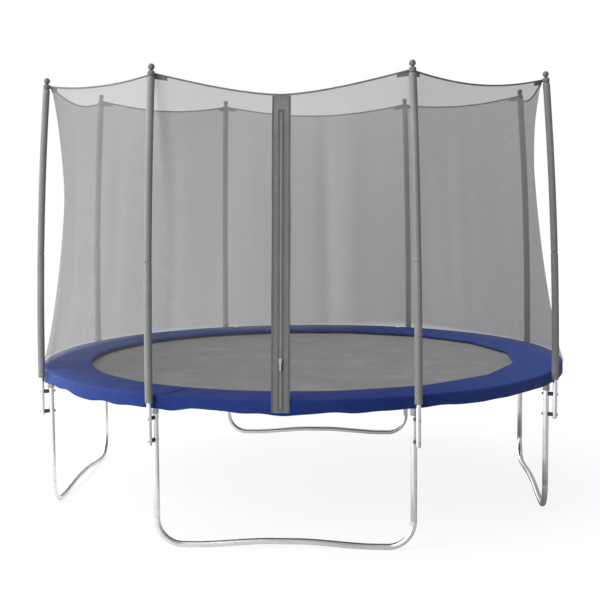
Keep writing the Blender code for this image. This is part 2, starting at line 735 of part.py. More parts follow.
def main():
    for old in list(bpy.data.objects):
        bpy.data.objects.remove(old)

    steel = new_material("galvanised_steel", (0.62, 0.64, 0.66), 0.35, 1.0)
    foam = new_material("grey_foam", (0.22, 0.23, 0.24), 0.7, 0.0)
    plastic = new_material("dark_plastic", (0.06, 0.065, 0.07), 0.45, 0.0)
    weave = new_material("black_mat", (0.05, 0.05, 0.055), 0.7, 0.0)
    vinyl = new_material("blue_vinyl", (0.02, 0.05, 0.28), 0.4, 0.0)
    netting = new_material("grey_net", (0.12, 0.12, 0.125), 0.8, 0.0)
    webbing = new_material("dark_webbing", (0.05, 0.05, 0.055), 0.8, 0.0)
    zinc = new_material("zip_metal", (0.5, 0.5, 0.52), 0.35, 1.0)

    frame = new_empty("frame_body")

    rails = {
        0: rail_mesh("rail_ahead", 0.0, LEG_SPREAD_DEGREES, steel),
        1: rail_mesh("rail_behind", 45.0, 90.0 - LEG_SPREAD_DEGREES, steel),
    }
    uprights = upright_mesh("upright", steel)
    poles = pole_mesh("pole", steel)
    sleeves = sleeve_mesh("sleeve", foam)
    caps = cap_mesh("cap", plastic)
    for i, (corner, azimuth) in enumerate(CORNERS.items()):
        place("top_rail_" + corner, rails[i % 2], turn=90.0 * (i // 2), parent=frame)
        place("leg_upright_" + corner, uprights, turn=azimuth, parent=frame)
        place("pole_tube_" + corner, poles, turn=azimuth, parent=frame)
        place("pole_sleeve_" + corner, sleeves, turn=azimuth, parent=frame)
        place("pole_cap_" + corner, caps, turn=azimuth, parent=frame)
    bases = base_mesh("base", steel)
    for side, azimuth in SIDES.items():
        place("leg_base_" + side, bases, turn=azimuth, parent=frame)

    mat = new_empty("mat_body", (0, 0, RAIL_HEIGHT + MAT_RISE))
    place("jump_mat", mat_mesh("jump_mat", weave), parent=mat)
    place("springs", springs_mesh("springs", steel), parent=frame)
    place("spring_pad", pad_mesh("spring_pad", vinyl), parent=frame)

    for name, mesh in net_panels(netting).items():
        place(name, mesh, parent=frame)
    place("net_rope", rope_mesh("net_rope", webbing), parent=frame)
    place("door_band", band_mesh("door_band", webbing), parent=frame)

    fold, up, out = band_frame()
    back = fold + up * (SLIDER_RISE / up.z) + out * (DOOR_BAND_THICKNESS / 2 + TOUCH_GAP)
    slider_body = new_empty("slider_body", back)
    slider_body.rotation_euler = Matrix((Vector((1, 0, 0)), -out, up)).transposed().to_euler()
    place("zip_slider", slider_mesh("zip_slider", zinc), parent=slider_body)
    pull_body = new_empty("pull_body", pin_place())
    pull_body.parent = slider_body
    place("zip_pull", pull_mesh("zip_pull", zinc), parent=pull_body)


main()
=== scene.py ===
# Round garden trampoline with a net enclosure: its looks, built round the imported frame.
import math
import random

import bmesh
import bpy
import numpy as np
from mathutils import Matrix, Vector


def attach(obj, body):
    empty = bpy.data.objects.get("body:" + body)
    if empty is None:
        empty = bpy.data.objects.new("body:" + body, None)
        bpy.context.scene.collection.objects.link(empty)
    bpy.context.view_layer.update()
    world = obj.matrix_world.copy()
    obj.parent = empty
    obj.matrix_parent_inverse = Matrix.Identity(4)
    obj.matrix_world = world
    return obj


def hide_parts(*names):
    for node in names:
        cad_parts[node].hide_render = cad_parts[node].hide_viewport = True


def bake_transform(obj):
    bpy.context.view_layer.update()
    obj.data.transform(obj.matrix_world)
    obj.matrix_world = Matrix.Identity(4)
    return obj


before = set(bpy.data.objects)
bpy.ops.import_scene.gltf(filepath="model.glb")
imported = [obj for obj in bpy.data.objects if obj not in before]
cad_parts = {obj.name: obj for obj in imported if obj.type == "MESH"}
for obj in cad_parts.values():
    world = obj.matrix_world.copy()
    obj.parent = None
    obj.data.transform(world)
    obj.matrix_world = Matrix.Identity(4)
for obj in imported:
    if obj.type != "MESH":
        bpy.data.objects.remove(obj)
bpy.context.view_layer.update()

corners = {
    "front_right": 25, "right_front": 65, "right_back": 115, "back_right": 155,
    "back_left": 205, "left_back": 245, "left_front": 295, "front_left": 335,
}   # azimuth of each pole and leg upright, from the front towards the right
sides = {"front": 0, "right": 90, "back": 180, "left": 270}
sideways, backwards, upwards = Vector((1, 0, 0)), Vector((0, 1, 0)), Vector((0, 0, 1))
print("frame loaded:", len(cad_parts), "nodes")


# Small tools

def polar(radius, azimuth, height):
    angle = math.radians(azimuth)
    return Vector((radius * math.sin(angle), -radius * math.cos(angle), height))


def spread(start, stop, count):
    return [start + (stop - start) * i / count for i in range(count + 1)]


def smooth(low, high, value):
    t = min(max((value - low) / (high - low), 0.0), 1.0)
    return t * t * (3 - 2 * t)


def ringAt(centre, side, up, radius, count, flatten=1.0):
    turns = [2 * math.pi * i / count for i in range(count)]
    return [centre + side * (radius * math.cos(t)) + up * (radius * flatten * math.sin(t)) for t in turns]


def loftParts(rings, closed=False, caps=False):
    # Faces and UVs in metres for a run of rings with the same number of points.
    verts = [p for ring in rings for p in ring]
    count = len(rings[0])
    faces = []
    uvs = []
    around = [0.0]
    for i in range(count):
        around.append(around[-1] + (rings[0][(i + 1) % count] - rings[0][i]).length)
    middle = [sum(ring, Vector()) / count for ring in rings]
    along = [0.0]
    pairs = list(range(len(rings))) + ([0] if closed else [])
    for a, b in zip(pairs, pairs[1:]):
        along.append(along[-1] + (middle[b] - middle[a]).length)
    for step, (a, b) in enumerate(zip(pairs, pairs[1:])):
        for i in range(count):
            j = (i + 1) % count
            faces.append((a * count + i, a * count + j, b * count + j, b * count + i))
            uvs += [(around[i], along[step]), (around[i + 1], along[step]),
                    (around[i + 1], along[step + 1]), (around[i], along[step + 1])]
    if caps and not closed:
        for ring, order in ((0, range(count - 1, -1, -1)), (len(rings) - 1, range(count))):
            faces.append(tuple(ring * count + i for i in order))
            uvs += [(0.0, 0.0)] * count
    return verts, faces, uvs


def addMesh(name, parts, material, sharp=40):
    # parts is one (verts, faces, uvs) or a list of them, joined into one object.
    if isinstance(parts, tuple):
        parts = [parts]
    verts, faces, uvs = [], [], []
    for partVerts, partFaces, partUvs in parts:
        shift = len(verts)
        verts += partVerts
        faces += [tuple(i + shift for i in face) for face in partFaces]
        uvs += partUvs
    mesh = bpy.data.meshes.new(name)
    mesh.from_pydata([tuple(v) for v in verts], [], faces)
    layer = mesh.uv_layers.new(name="metres")
    layer.data.foreach_set("uv", np.array(uvs, np.float32).ravel())
    mesh.materials.append(material)
    bm = bmesh.new()
    bm.from_mesh(mesh)
    bmesh.ops.recalc_face_normals(bm, faces=bm.faces)
    bm.to_mesh(mesh)
    bm.free()
    mesh.shade_smooth()
    mesh.set_sharp_from_angle(angle=math.radians(sharp))
    piece = bpy.data.objects.new(name, mesh)
    bpy.context.scene.collection.objects.link(piece)
    return piece


def sweep(points, radius, count=8, closed=False, flatten=1.0):
    # A round or flattened bar along a line of points, its cross-section carried along without twist.
    total = len(points)
    rings = []
    up = None
    for i, point in enumerate(points):
        before = points[i - 1] if (i > 0 or closed) else point
        after = points[(i + 1) % total] if (i < total - 1 or closed) else point
        ahead = (after - before).normalized()
        if up is None:
            up = upwards if abs(ahead.z) < 0.9 else backwards
        up = (up - ahead * up.dot(ahead)).normalized()
        rings.append(ringAt(point, ahead.cross(up), up, radius, count, flatten))
    return loftParts(rings, closed, caps=True)


def lathe(profile, centre, side, up, count=24, caps=False):
    # profile is (radius, distance along the axis); side x up is the axis.
    axis = side.cross(up)
    rings = [ringAt(centre + axis * d, side, up, max(r, 0.00005), count) for r, d in profile]
    return loftParts(rings, caps=caps)


def turned(parts, azimuth):
    # The same parts, turned about the trampoline's centre line.
    turn = Matrix.Rotation(math.radians(azimuth), 3, "Z")
    return [([turn @ v for v in verts], faces, uvs) for verts, faces, uvs in parts]


def addOnFrame(name, parts, finish, slotName, *nodes, sharp=40):
    # Makes a piece that rides on the frame, in place of the plain solids named.
    piece = addMesh(name, parts, finishes[finish], sharp)
    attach(piece, "frame")
    if nodes:
        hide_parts(*nodes)
    return piece


# Shader node groups

class groupMaker:
    def __init__(self, name, inputs, outputs):
        self.tree = bpy.data.node_groups.new(name, "ShaderNodeTree")
        for label, kind, value in inputs:
            socket = self.tree.interface.new_socket(name=label, in_out="INPUT", socket_type=kind)
            if value is not None:
                socket.default_value = value
        for label, kind in outputs:
            self.tree.interface.new_socket(name=label, in_out="OUTPUT", socket_type=kind)
        self.into = self.tree.nodes.new("NodeGroupInput").outputs
        self.out = self.tree.nodes.new("NodeGroupOutput").inputs


def addNode(tree, kind, links=None, **settings):
    # Makes a node, sets its attributes, and feeds its inputs with sockets or plain values.
    node = tree.nodes.new(kind)
    for key, value in settings.items():
        setattr(node, key, value)
    for key, value in (links or {}).items():
        if isinstance(value, bpy.types.NodeSocket):
            tree.links.new(value, node.inputs[key])
        else:
            node.inputs[key].default_value = value
    return node


def calc(tree, operation, first, second=0.5, third=0.0):
    return addNode(tree, "ShaderNodeMath", {0: first, 1: second, 2: third}, operation=operation).outputs[0]


def remap(tree, value, low, high, newLow, newHigh):
    node = addNode(tree, "ShaderNodeMapRange", {
        "Value": value, "From Min": low, "From Max": high, "To Min": newLow, "To Max": newHigh})
    return node.outputs["Result"]


def threadWeaveGroup():
    # Crossing threads: Place is in metres, Across and Along are threads per metre.
    g = groupMaker("threadWeave",
                   [("Place", "NodeSocketVector", None), ("Across", "NodeSocketFloat", 400.0),
                    ("Along", "NodeSocketFloat", 400.0)],
                   [("Weave", "NodeSocketFloat"), ("Height", "NodeSocketFloat")])
    t = g.tree
    split = addNode(t, "ShaderNodeSeparateXYZ", {"Vector": g.into["Place"]})
    waves = []
    for axis, pitch in (("X", "Across"), ("Y", "Along")):
        phase = calc(t, "MULTIPLY", calc(t, "MULTIPLY", split.outputs[axis], g.into[pitch]), 2 * math.pi)
        waves.append(calc(t, "SINE", phase))
    product = calc(t, "MULTIPLY", waves[0], waves[1])
    t.links.new(calc(t, "MULTIPLY_ADD", product, 0.5, 0.5), g.out["Weave"])
    crown = calc(t, "MAXIMUM", calc(t, "ABSOLUTE", waves[0]), calc(t, "ABSOLUTE", waves[1]))
    t.links.new(calc(t, "MULTIPLY", crown, calc(t, "MULTIPLY_ADD", product, 0.3, 0.7)), g.out["Height"])
    return t


def knitHolesGroup():
    # The open cells of knitted netting, in staggered rows: Mask is 1 on thread and 0 in a hole.
    g = groupMaker("knitHoles",
                   [("Place", "NodeSocketVector", None), ("Cells", "NodeSocketFloat", 220.0)],
                   [("Mask", "NodeSocketFloat"), ("Height", "NodeSocketFloat")])
    t = g.tree
    split = addNode(t, "ShaderNodeSeparateXYZ", {"Vector": g.into["Place"]})
    u = calc(t, "MULTIPLY", split.outputs["X"], g.into["Cells"])
    v = calc(t, "MULTIPLY", split.outputs["Y"], g.into["Cells"])
    slant = calc(t, "SINE", calc(t, "MULTIPLY", calc(t, "ADD", u, v), math.pi))
    other = calc(t, "SINE", calc(t, "MULTIPLY", calc(t, "SUBTRACT", u, v), math.pi))
    thin = calc(t, "MULTIPLY", calc(t, "ABSOLUTE", slant), calc(t, "ABSOLUTE", other))
    mask = remap(t, thin, 0.25, 0.75, 1.0, 0.0)
    t.links.new(mask, g.out["Mask"])
    t.links.new(mask, g.out["Height"])
    return t


def agedSurfaceGroup():
    # Large and small unevenness: Shade is round 0.5, Dust is patchy, Height is fine grain.
    g = groupMaker("agedSurface",
                   [("Place", "NodeSocketVector", None), ("Scale", "NodeSocketFloat", 3.0),
                    ("Grain", "NodeSocketFloat", 300.0)],
                   [("Shade", "NodeSocketFloat"), ("Dust", "NodeSocketFloat"), ("Height", "NodeSocketFloat")])
    t = g.tree
    place, scale = g.into["Place"], g.into["Scale"]
    broad = addNode(t, "ShaderNodeTexNoise", {"Vector": place, "Scale": scale, "Detail": 4.0})
    finer = calc(t, "MULTIPLY", scale, 9.0)
    small = addNode(t, "ShaderNodeTexNoise", {
        "Vector": place, "Scale": finer, "Detail": 5.0, "Roughness": 0.65})
    grain = addNode(t, "ShaderNodeTexNoise", {"Vector": place, "Scale": g.into["Grain"], "Detail": 2.0})
    both = calc(t, "MULTIPLY_ADD", small.outputs["Fac"], 0.4, calc(t, "MULTIPLY", broad.outputs["Fac"], 0.6))
    t.links.new(both, g.out["Shade"])
    t.links.new(remap(t, both, 0.48, 0.66, 0.0, 1.0), g.out["Dust"])
    t.links.new(grain.outputs["Fac"], g.out["Height"])
    return t


def zincSpangleGroup():
    # The frosted flakes of hot-dip zinc, with a few dull streaks.
    g = groupMaker("zincSpangle",
                   [("Place", "NodeSocketVector", None), ("Flakes", "NodeSocketFloat", 90.0)],
                   [("Tone", "NodeSocketFloat"), ("Dull", "NodeSocketFloat"), ("Height", "NodeSocketFloat")])
    t = g.tree
    flakes = addNode(t, "ShaderNodeTexVoronoi", {"Vector": g.into["Place"], "Scale": g.into["Flakes"]})
    cell = addNode(t, "ShaderNodeSeparateColor", {"Color": flakes.outputs["Color"]})
    cloud = addNode(t, "ShaderNodeTexNoise", {"Vector": g.into["Place"], "Scale": 7.0, "Detail": 6.0})
    t.links.new(cell.outputs[0], g.out["Tone"])
    t.links.new(remap(t, cloud.outputs["Fac"], 0.42, 0.68, 0.0, 1.0), g.out["Dull"])
    half = calc(t, "MULTIPLY", cell.outputs[1], 0.5)
    t.links.new(calc(t, "MULTIPLY_ADD", flakes.outputs["Distance"], 0.5, half), g.out["Height"])
    return t


groups = {
    "weave": threadWeaveGroup(), "knit": knitHolesGroup(),
    "aged": agedSurfaceGroup(), "zinc": zincSpangleGroup(),
}


# Materials

def startMaterial(name, roughness=0.5, metallic=0.0, specular=0.5):
    material = bpy.data.materials.new(name)
    material.use_nodes = True
    tree = material.node_tree
    shader = tree.nodes["Principled BSDF"]
    shader.inputs["Roughness"].default_value = roughness
    shader.inputs["Metallic"].default_value = metallic
    shader.inputs["Specular IOR Level"].default_value = specular
    return material, tree, shader


def placeOf(tree, kind):
    return addNode(tree, "ShaderNodeTexCoord").outputs[kind]


def useGroup(tree, key, values):
    return addNode(tree, "ShaderNodeGroup", values, node_tree=groups[key]).outputs


def mixTo(tree, shader, mask, first, second):
    node = addNode(tree, "ShaderNodeMix", data_type="RGBA")
    if isinstance(mask, bpy.types.NodeSocket):
        tree.links.new(mask, node.inputs[0])
    for index, colour in ((6, first), (7, second)):
        if isinstance(colour, bpy.types.NodeSocket):
            tree.links.new(colour, node.inputs[index])
        else:
            node.inputs[index].default_value = (*colour, 1.0)
    if shader is not None:
        tree.links.new(node.outputs[2], shader.inputs["Base Color"])
    return node.outputs[2]


def bumpTo(tree, shader, height, depth):
    node = addNode(tree, "ShaderNodeBump", {"Height": height, "Distance": depth, "Strength": 1.0})
    tree.links.new(node.outputs["Normal"], shader.inputs["Normal"])


def zincMaterial(name, bright, dull, flakes, roughLow, roughHigh):
    material, tree, shader = startMaterial(name, metallic=1.0)
    zinc = useGroup(tree, "zinc", {"Place": placeOf(tree, "Object"), "Flakes": flakes})
    aged = useGroup(tree, "aged", {"Place": placeOf(tree, "Object"), "Scale": 2.2, "Grain": 500.0})
    flaked = mixTo(tree, None, zinc["Tone"], [c * 0.9 for c in bright], bright)
    mixTo(tree, shader, calc(tree, "MULTIPLY", zinc["Dull"], 0.55), flaked, dull)
    tree.links.new(remap(tree, aged["Shade"], 0.3, 0.7, roughLow, roughHigh), shader.inputs["Roughness"])
    bumpTo(tree, shader, zinc["Height"], 0.00006)
    return material


def plasticMaterial(name, colour, worn, roughLow, roughHigh, grainDepth=0.00005):
    material, tree, shader = startMaterial(name)
    aged = useGroup(tree, "aged", {"Place": placeOf(tree, "Object"), "Scale": 6.0, "Grain": 700.0})
    mixTo(tree, shader, aged["Dust"], colour, worn)
    tree.links.new(remap(tree, aged["Shade"], 0.3, 0.7, roughLow, roughHigh), shader.inputs["Roughness"])
    bumpTo(tree, shader, aged["Height"], grainDepth)
    return material


def clothMaterial(name, thread, gap, across, along, depth, rough=0.85, sheen=0.0):
    material, tree, shader = startMaterial(name, roughness=rough, specular=0.3)
    shader.inputs["Sheen Weight"].default_value = sheen
    weave = useGroup(tree, "weave", {"Place": placeOf(tree, "UV"), "Across": across, "Along": along})
    aged = useGroup(tree, "aged", {"Place": placeOf(tree, "UV"), "Scale": 4.0, "Grain": 250.0})
    woven = mixTo(tree, None, weave["Weave"], gap, thread)
    dusty = [min(c * 1.7 + 0.02, 1) for c in thread]
    mixTo(tree, shader, calc(tree, "MULTIPLY", aged["Dust"], 0.25), woven, dusty)
    bumpTo(tree, shader, calc(tree, "MULTIPLY_ADD", aged["Height"], 0.3, weave["Height"]), depth)
    return material


def padMaterial():
    # Royal blue coated cloth: fine cloth print under a satin skin, paler where it is dusty, with a painted sheen
    # that grows towards the left and right sides.
    look = {"blue": (0.0085, 0.025, 0.150), "deep": (0.0060, 0.018, 0.110), "dusty": (0.045, 0.080, 0.27)}
    material, tree, shader = startMaterial("pad_blue_vinyl", specular=0.03)
    weave = useGroup(tree, "weave", {"Place": placeOf(tree, "UV"), "Across": 620.0, "Along": 620.0})
    aged = useGroup(tree, "aged", {"Place": placeOf(tree, "Object"), "Scale": 2.4, "Grain": 160.0})
    fine = mixTo(tree, None, remap(tree, aged["Shade"], 0.35, 0.65, 0.0, 1.0), look["deep"], look["blue"])
    # Painted sheen: the pale dusty colour is mixed in more and more towards the cover's left and right sides.
    away = addNode(tree, "ShaderNodeSeparateXYZ", {"Vector": placeOf(tree, "Object")}).outputs["X"]
    paintedSideSheen = remap(tree, calc(tree, "ABSOLUTE", away, 0.0), 0.55, 1.55, 0.0, 0.62)
    mixTo(tree, shader, calc(tree, "MULTIPLY_ADD", aged["Dust"], 0.15, paintedSideSheen), fine, look["dusty"])
    tree.links.new(remap(tree, aged["Shade"], 0.3, 0.7, 0.46, 0.62), shader.inputs["Roughness"])
    creases = addNode(tree, "ShaderNodeTexNoise", {
        "Vector": placeOf(tree, "Object"), "Scale": 11.0, "Detail": 3.0, "Distortion": 0.8})
    creased = calc(tree, "MULTIPLY", creases.outputs["Fac"], 0.5)
    bumpTo(tree, shader, calc(tree, "MULTIPLY_ADD", weave["Height"], 0.012, creased), 0.006)
    return material


def netMaterial():
    # Knitted netting: threads and holes too fine to see one by one, thinner towards the hem.
    look = {"thread": (0.21, 0.21, 0.215), "dusty": (0.30, 0.30, 0.30), "cellsPerMetre": 230.0, "cover": 0.56,
            "worn": 0.11, "hem": 0.03, "wornRise": 0.375, "sideDrop": 0.05, "hemTop": 0.065}
    material, tree, shader = startMaterial("net_knit", roughness=0.9, specular=0.1)
    knit = useGroup(tree, "knit", {"Place": placeOf(tree, "UV"), "Cells": look["cellsPerMetre"]})
    aged = useGroup(tree, "aged", {"Place": placeOf(tree, "UV"), "Scale": 2.0, "Grain": 90.0})
    mixTo(tree, shader, calc(tree, "MULTIPLY", aged["Dust"], 0.3), look["thread"], look["dusty"])
    flat = addNode(tree, "ShaderNodeSeparateXYZ", {"Vector": placeOf(tree, "UV")})
    height = calc(tree, "SUBTRACT", flat.outputs["Y"], look["hemTop"])
    # The knit is stretched thin low down beside the door, less and less towards the sides.
    facing = calc(tree, "COSINE", calc(tree, "MULTIPLY_ADD", flat.outputs["X"], 0.667, -0.071), 0.0)
    facing = calc(tree, "MAXIMUM", calc(tree, "MULTIPLY_ADD", facing, 1.13, -0.155), 0.0)
    edge = calc(tree, "MULTIPLY_ADD", facing, look["wornRise"] + look["sideDrop"], -look["sideDrop"])
    above = remap(tree, calc(tree, "SUBTRACT", height, edge), -0.028, 0.008, 0.0, 1.0)
    thin = remap(tree, height, 0.02, 0.22, look["hem"], look["worn"])
    full = calc(tree, "MINIMUM", above, remap(tree, height, -0.009, -0.003, 0.0, 1.0))
    cover = calc(tree, "MULTIPLY_ADD", full, calc(tree, "SUBTRACT", look["cover"], thin), thin)
    spotty = calc(tree, "MULTIPLY_ADD", knit["Mask"], 0.5, 0.75)
    patchy = calc(tree, "MULTIPLY_ADD", aged["Shade"], 0.10, 0.95)
    uneven = calc(tree, "MULTIPLY", calc(tree, "MULTIPLY", cover, spotty), patchy)
    tree.links.new(uneven, shader.inputs["Alpha"])
    bumpTo(tree, shader, knit["Height"], 0.0004)
    return material


finishes = {
    "tube": zincMaterial("galvanised_tube", (0.84, 0.85, 0.86), (0.64, 0.65, 0.66), 70.0, 0.16, 0.30),
    # The sockets' zinc is rougher than the tubes', and its colour is darkened as painted shade under the pad's
    # skirt.
    "socket": zincMaterial("socket_zinc_painted_shade", (0.42, 0.43, 0.44), (0.30, 0.30, 0.31), 120.0, 0.45, 0.62),
    "spring": zincMaterial("spring_wire", (0.72, 0.72, 0.74), (0.50, 0.50, 0.52), 300.0, 0.22, 0.38),
    "bolt": zincMaterial("bolt_zinc", (0.66, 0.67, 0.68), (0.45, 0.44, 0.42), 400.0, 0.25, 0.42),
    "foam": plasticMaterial("sleeve_foam_skin", (0.155, 0.158, 0.160), (0.19, 0.195, 0.20), 0.50, 0.65, 0.0002),
    "cap": plasticMaterial("cap_moulding", (0.085, 0.095, 0.095), (0.12, 0.13, 0.13), 0.50, 0.62),
    "spacer": plasticMaterial("spacer_moulding", (0.03, 0.035, 0.04), (0.07, 0.07, 0.07), 0.45, 0.65),
    "mat": clothMaterial("mat_weave", (0.215, 0.215, 0.215), (0.15, 0.15, 0.15), 480.0, 300.0, 0.0003, 0.85),
    "hem": clothMaterial("black_webbing", (0.035, 0.035, 0.038), (0.012, 0.012, 0.012), 900.0, 350.0, 0.0004),
    "rope": clothMaterial("rope_hem", (0.17, 0.175, 0.18), (0.10, 0.10, 0.10), 1100.0, 500.0, 0.0004),
    "band": clothMaterial("door_band_cloth", (0.155, 0.155, 0.158), (0.10, 0.10, 0.10), 1200.0, 900.0, 0.0003),
    "tape": clothMaterial("zip_tape", (0.11, 0.11, 0.115), (0.06, 0.06, 0.06), 2200.0, 2200.0, 0.0002),
    "coil": plasticMaterial("zip_teeth", (0.42, 0.42, 0.44), (0.50, 0.50, 0.50), 0.35, 0.50),
    "zip": zincMaterial("zip_slider_metal", (0.55, 0.55, 0.57), (0.35, 0.35, 0.35), 500.0, 0.25, 0.40),
    "pad": padMaterial(),
    "net": netMaterial(),
}
print("materials made:", len(finishes))


# Camera

def addCamera():
    view = {"place": (0.5101, -7.1694, 1.8084), "heading": 4.188, "down": 5.59, "roll": -0.434, "lens": 72.1}
    heading, down, roll = (math.radians(view[key]) for key in ("heading", "down", "roll"))
    ahead = Vector((-math.sin(heading) * math.cos(down), math.cos(heading) * math.cos(down), -math.sin(down)))
    right = Vector((math.cos(heading), math.sin(heading), 0))
    up = right.cross(ahead)
    tilted = right * math.cos(roll) + up * math.sin(roll)
    axes = Matrix((tilted, -right * math.sin(roll) + up * math.cos(roll), -ahead)).transposed()
    data = bpy.data.cameras.new("camera")
    data.sensor_width = 36
    data.lens = view["lens"]
    data.clip_end = 200
    camera = bpy.data.objects.new("camera", data)
    camera.matrix_world = Matrix.Translation(view["place"]) @ axes.to_4x4()
    bpy.context.scene.collection.objects.link(camera)
    bpy.context.scene.camera = camera


addCamera()


# Steel tube ring, sockets and legs

ring = {"radius": 1.511, "height": 0.733, "tube": 0.0165, "plug": 0.0147, "sidesRound": 24}
socket = {"bottom": 0.675, "inside": 0.707, "top": 0.727, "gap": 0.0005, "wall": 0.0025, "weld": 0.0019}
legTube = {"radius": 0.0155, "wall": 0.0015, "top": 0.714, "joint": 0.1463, "bend": 0.130, "flat": 0.090,
           "rise": 0.022, "middle": 0.200, "spread": 25}


def railParts(start):
    # One eighth of the ring, from its open end to the reduced end that goes into the next.
    stations = [(azimuth, ring["tube"]) for azimuth in spread(start + 0.02, start + 44.85, 24)]
    plug = ring["plug"]
    stations += [(start + 44.93, plug + 0.0009), (start + 45.0, plug), (start + 45.6, plug)]
    return loftParts([ringAt(polar(ring["radius"], azimuth, ring["height"]), polar(1, azimuth, 0), upwards,
                             radius, ring["sidesRound"]) for azimuth, radius in stations], caps=True)


def socketParts():
    # A short welded stub, open below, with the weld round its top; made in front.
    centre = polar(ring["radius"], 0, 0)
    bottom, top = socket["bottom"], socket["top"]
    inner = legTube["radius"] + socket["gap"]
    outer = inner + socket["wall"]
    profile = [(inner, socket["inside"]), (inner, bottom + 0.001), (inner + 0.0006, bottom),
               (outer - 0.0006, bottom), (outer, bottom + 0.001), (outer, top - 0.0065), (outer - 0.004, top)]
    stub = lathe(profile, centre, sideways, backwards, 24)
    weld = []
    for i in range(48):
        angle = 2 * math.pi * i / 48
        x, y = (outer + 0.0002) * math.cos(angle), (outer + 0.0002) * math.sin(angle)
        lift = math.sqrt(max(ring["tube"] ** 2 - y * y, 0.0)) if abs(y) < ring["tube"] else 0.0
        height = max(ring["height"] - lift, top - 0.0095) + 0.0005 * math.sin(i * 2.1)
        weld.append(centre + Vector((x, y, min(height, top - 0.0025))))
    return [stub, sweep(weld, socket["weld"], 6, closed=True)]


def uprightParts():
    low = legTube["joint"] + 0.0005
    tube = legTube["radius"]
    bore = tube - legTube["wall"]
    profile = [(bore, low + 0.02), (bore, low + 0.0004), (bore + 0.0003, low), (tube - 0.0004, low),
               (tube, low + 0.0005), (tube, 0.30), (tube, 0.50), (tube, legTube["top"]), (bore, legTube["top"])]
    return [lathe(profile, polar(ring["radius"], 0, 0), sideways, backwards, ring["sidesRound"])]


def baseParts():
    # The bent floor tube: down one side, along the floor with a low raised middle, and up the other.
    half, depth = (ring["radius"] * turn(math.radians(legTube["spread"])) for turn in (math.sin, math.cos))
    joint, tube, bend = legTube["joint"], legTube["radius"], legTube["bend"]
    floor, plug = tube * math.cos(math.pi / 8), tube - 2 * legTube["wall"]
    corner = half - bend
    right = [(half, joint + rise, 0.0, radius) for rise, radius in (
        (0.03, plug), (0.0012, plug), (0.0004, plug + 0.001), (0.0, tube - 0.0008), (-0.0008, tube))]
    for angle in spread(0, math.pi / 2, 14):
        right.append((corner + bend * math.cos(angle), floor + bend * (1 - math.sin(angle)), angle, tube))
    for share in spread(0, 1, 3)[1:]:
        right.append((corner - legTube["flat"] * share, floor, math.pi / 2, tube))
    foot = corner - legTube["flat"]
    for share in spread(0, 1, 10)[1:]:
        x = foot * (1 - share)
        climb = min(max((foot - x) / (foot - legTube["middle"] / 2), 0.0), 1.0)
        climb -= 0.03 * math.sin(2 * math.pi * climb)
        right.append((x, floor + legTube["rise"] * climb, math.pi / 2, tube))
    rings = []
    for x, z, angle, radius in right:
        up = Vector((-math.cos(angle), 0, math.sin(angle)))
        rings.append(ringAt(Vector((x, -depth, z)), -backwards, up, radius, ring["sidesRound"]))
    rings += [[Vector((-p.x, p.y, p.z)) for p in points] for points in reversed(rings[:-1])]
    for points in rings:
        for p in points:
            p.z = max(p.z, 0.0)   # the floor bar is pressed a little flat where it stands
    return [loftParts(rings, caps=True)]


def buildFrame():
    sockets, uprights, bases = socketParts(), uprightParts(), baseParts()
    for i, (corner, azimuth) in enumerate(corners.items()):
        addOnFrame("rail_" + corner, railParts(45 * i), "tube", "steel", "top_rail_" + corner)
        addOnFrame("rail_socket_" + corner, turned(sockets, azimuth), "socket", "steel")
        addOnFrame("upright_" + corner, turned(uprights, azimuth), "tube", "steel", "leg_upright_" + corner)
    for side, azimuth in sides.items():
        addOnFrame("floor_tube_" + side, turned(bases, azimuth), "tube", "steel", "leg_base_" + side)
    print("frame ring and legs made")


buildFrame()


# Enclosure poles

pole = {
    "radius": 1.5607, "tube": 0.0125, "bore": 0.0112, "bottom": 0.524, "bendStart": 0.680, "bend": 19.3,
    "sleeveBottom": 0.736, "sleeveJoint": 1.425, "lowerSleeve": 0.0194, "upperSleeve": 0.0187,
}
cap = {"base": 2.324, "collar": 0.0145, "neck": 0.0085, "ball": 0.0165, "ballRise": 0.046}
bolt = {"heights": (0.545, 0.657), "shank": 0.0039, "washer": 0.0080, "nut": 0.0068, "head": 0.0074,
        "spacerBore": 0.0042, "spacer": 0.0112}


def poleAt(height):
    # Centre, side, up and direction of the pole in front at a height.
    lean, radius = 0.0, pole["radius"]
    if height > pole["bendStart"]:
        lean = math.asin((height - pole["bendStart"]) / pole["bend"])
        radius -= pole["bend"] * (1 - math.cos(lean))
    inwards = Vector((0, math.cos(lean), -math.sin(lean)))
    return polar(radius, 0, height), Vector((1, 0, 0)), inwards, Vector((0, math.sin(lean), math.cos(lean)))


def poleRings(stations, count=24, uneven=0.0, seed=0):
    rng = random.Random(seed)
    rings = []
    for height, radius in stations:
        nudge = 1 + uneven * (rng.random() - 0.5)
        rings.append(ringAt(*poleAt(height)[:3], radius * nudge, count))
    return rings


def poleParts():
    low = pole["bottom"]
    bore, tube = pole["bore"], pole["tube"]
    stations = [(low + 0.03, bore), (low + 0.0004, bore), (low, bore + 0.0004), (low, tube - 0.0004),
                (low + 0.0006, tube)]
    stations += [(height, tube) for height in spread(low + 0.006, pole["sleeveBottom"] + 0.03, 5)]
    return [loftParts(poleRings(stations))]


def sleeveParts(low, high, radius, seed):
    # A foam tube with soft end edges and slight unevenness along it.
    stations = [(low + 0.012, 0.0132), (low + 0.0006, 0.0134), (low, 0.0150), (low, radius - 0.003),
                (low + 0.0010, radius - 0.0012), (low + 0.003, radius)]
    count = round((high - low) / 0.03)
    stations += [(height, radius) for height in spread(low + 0.012, high - 0.012, count)]
    stations += [(high - 0.003, radius), (high - 0.001, radius - 0.0012), (high, radius - 0.003), (high, 0.0150)]
    return [loftParts(poleRings(stations, 28, 0.012, seed))]


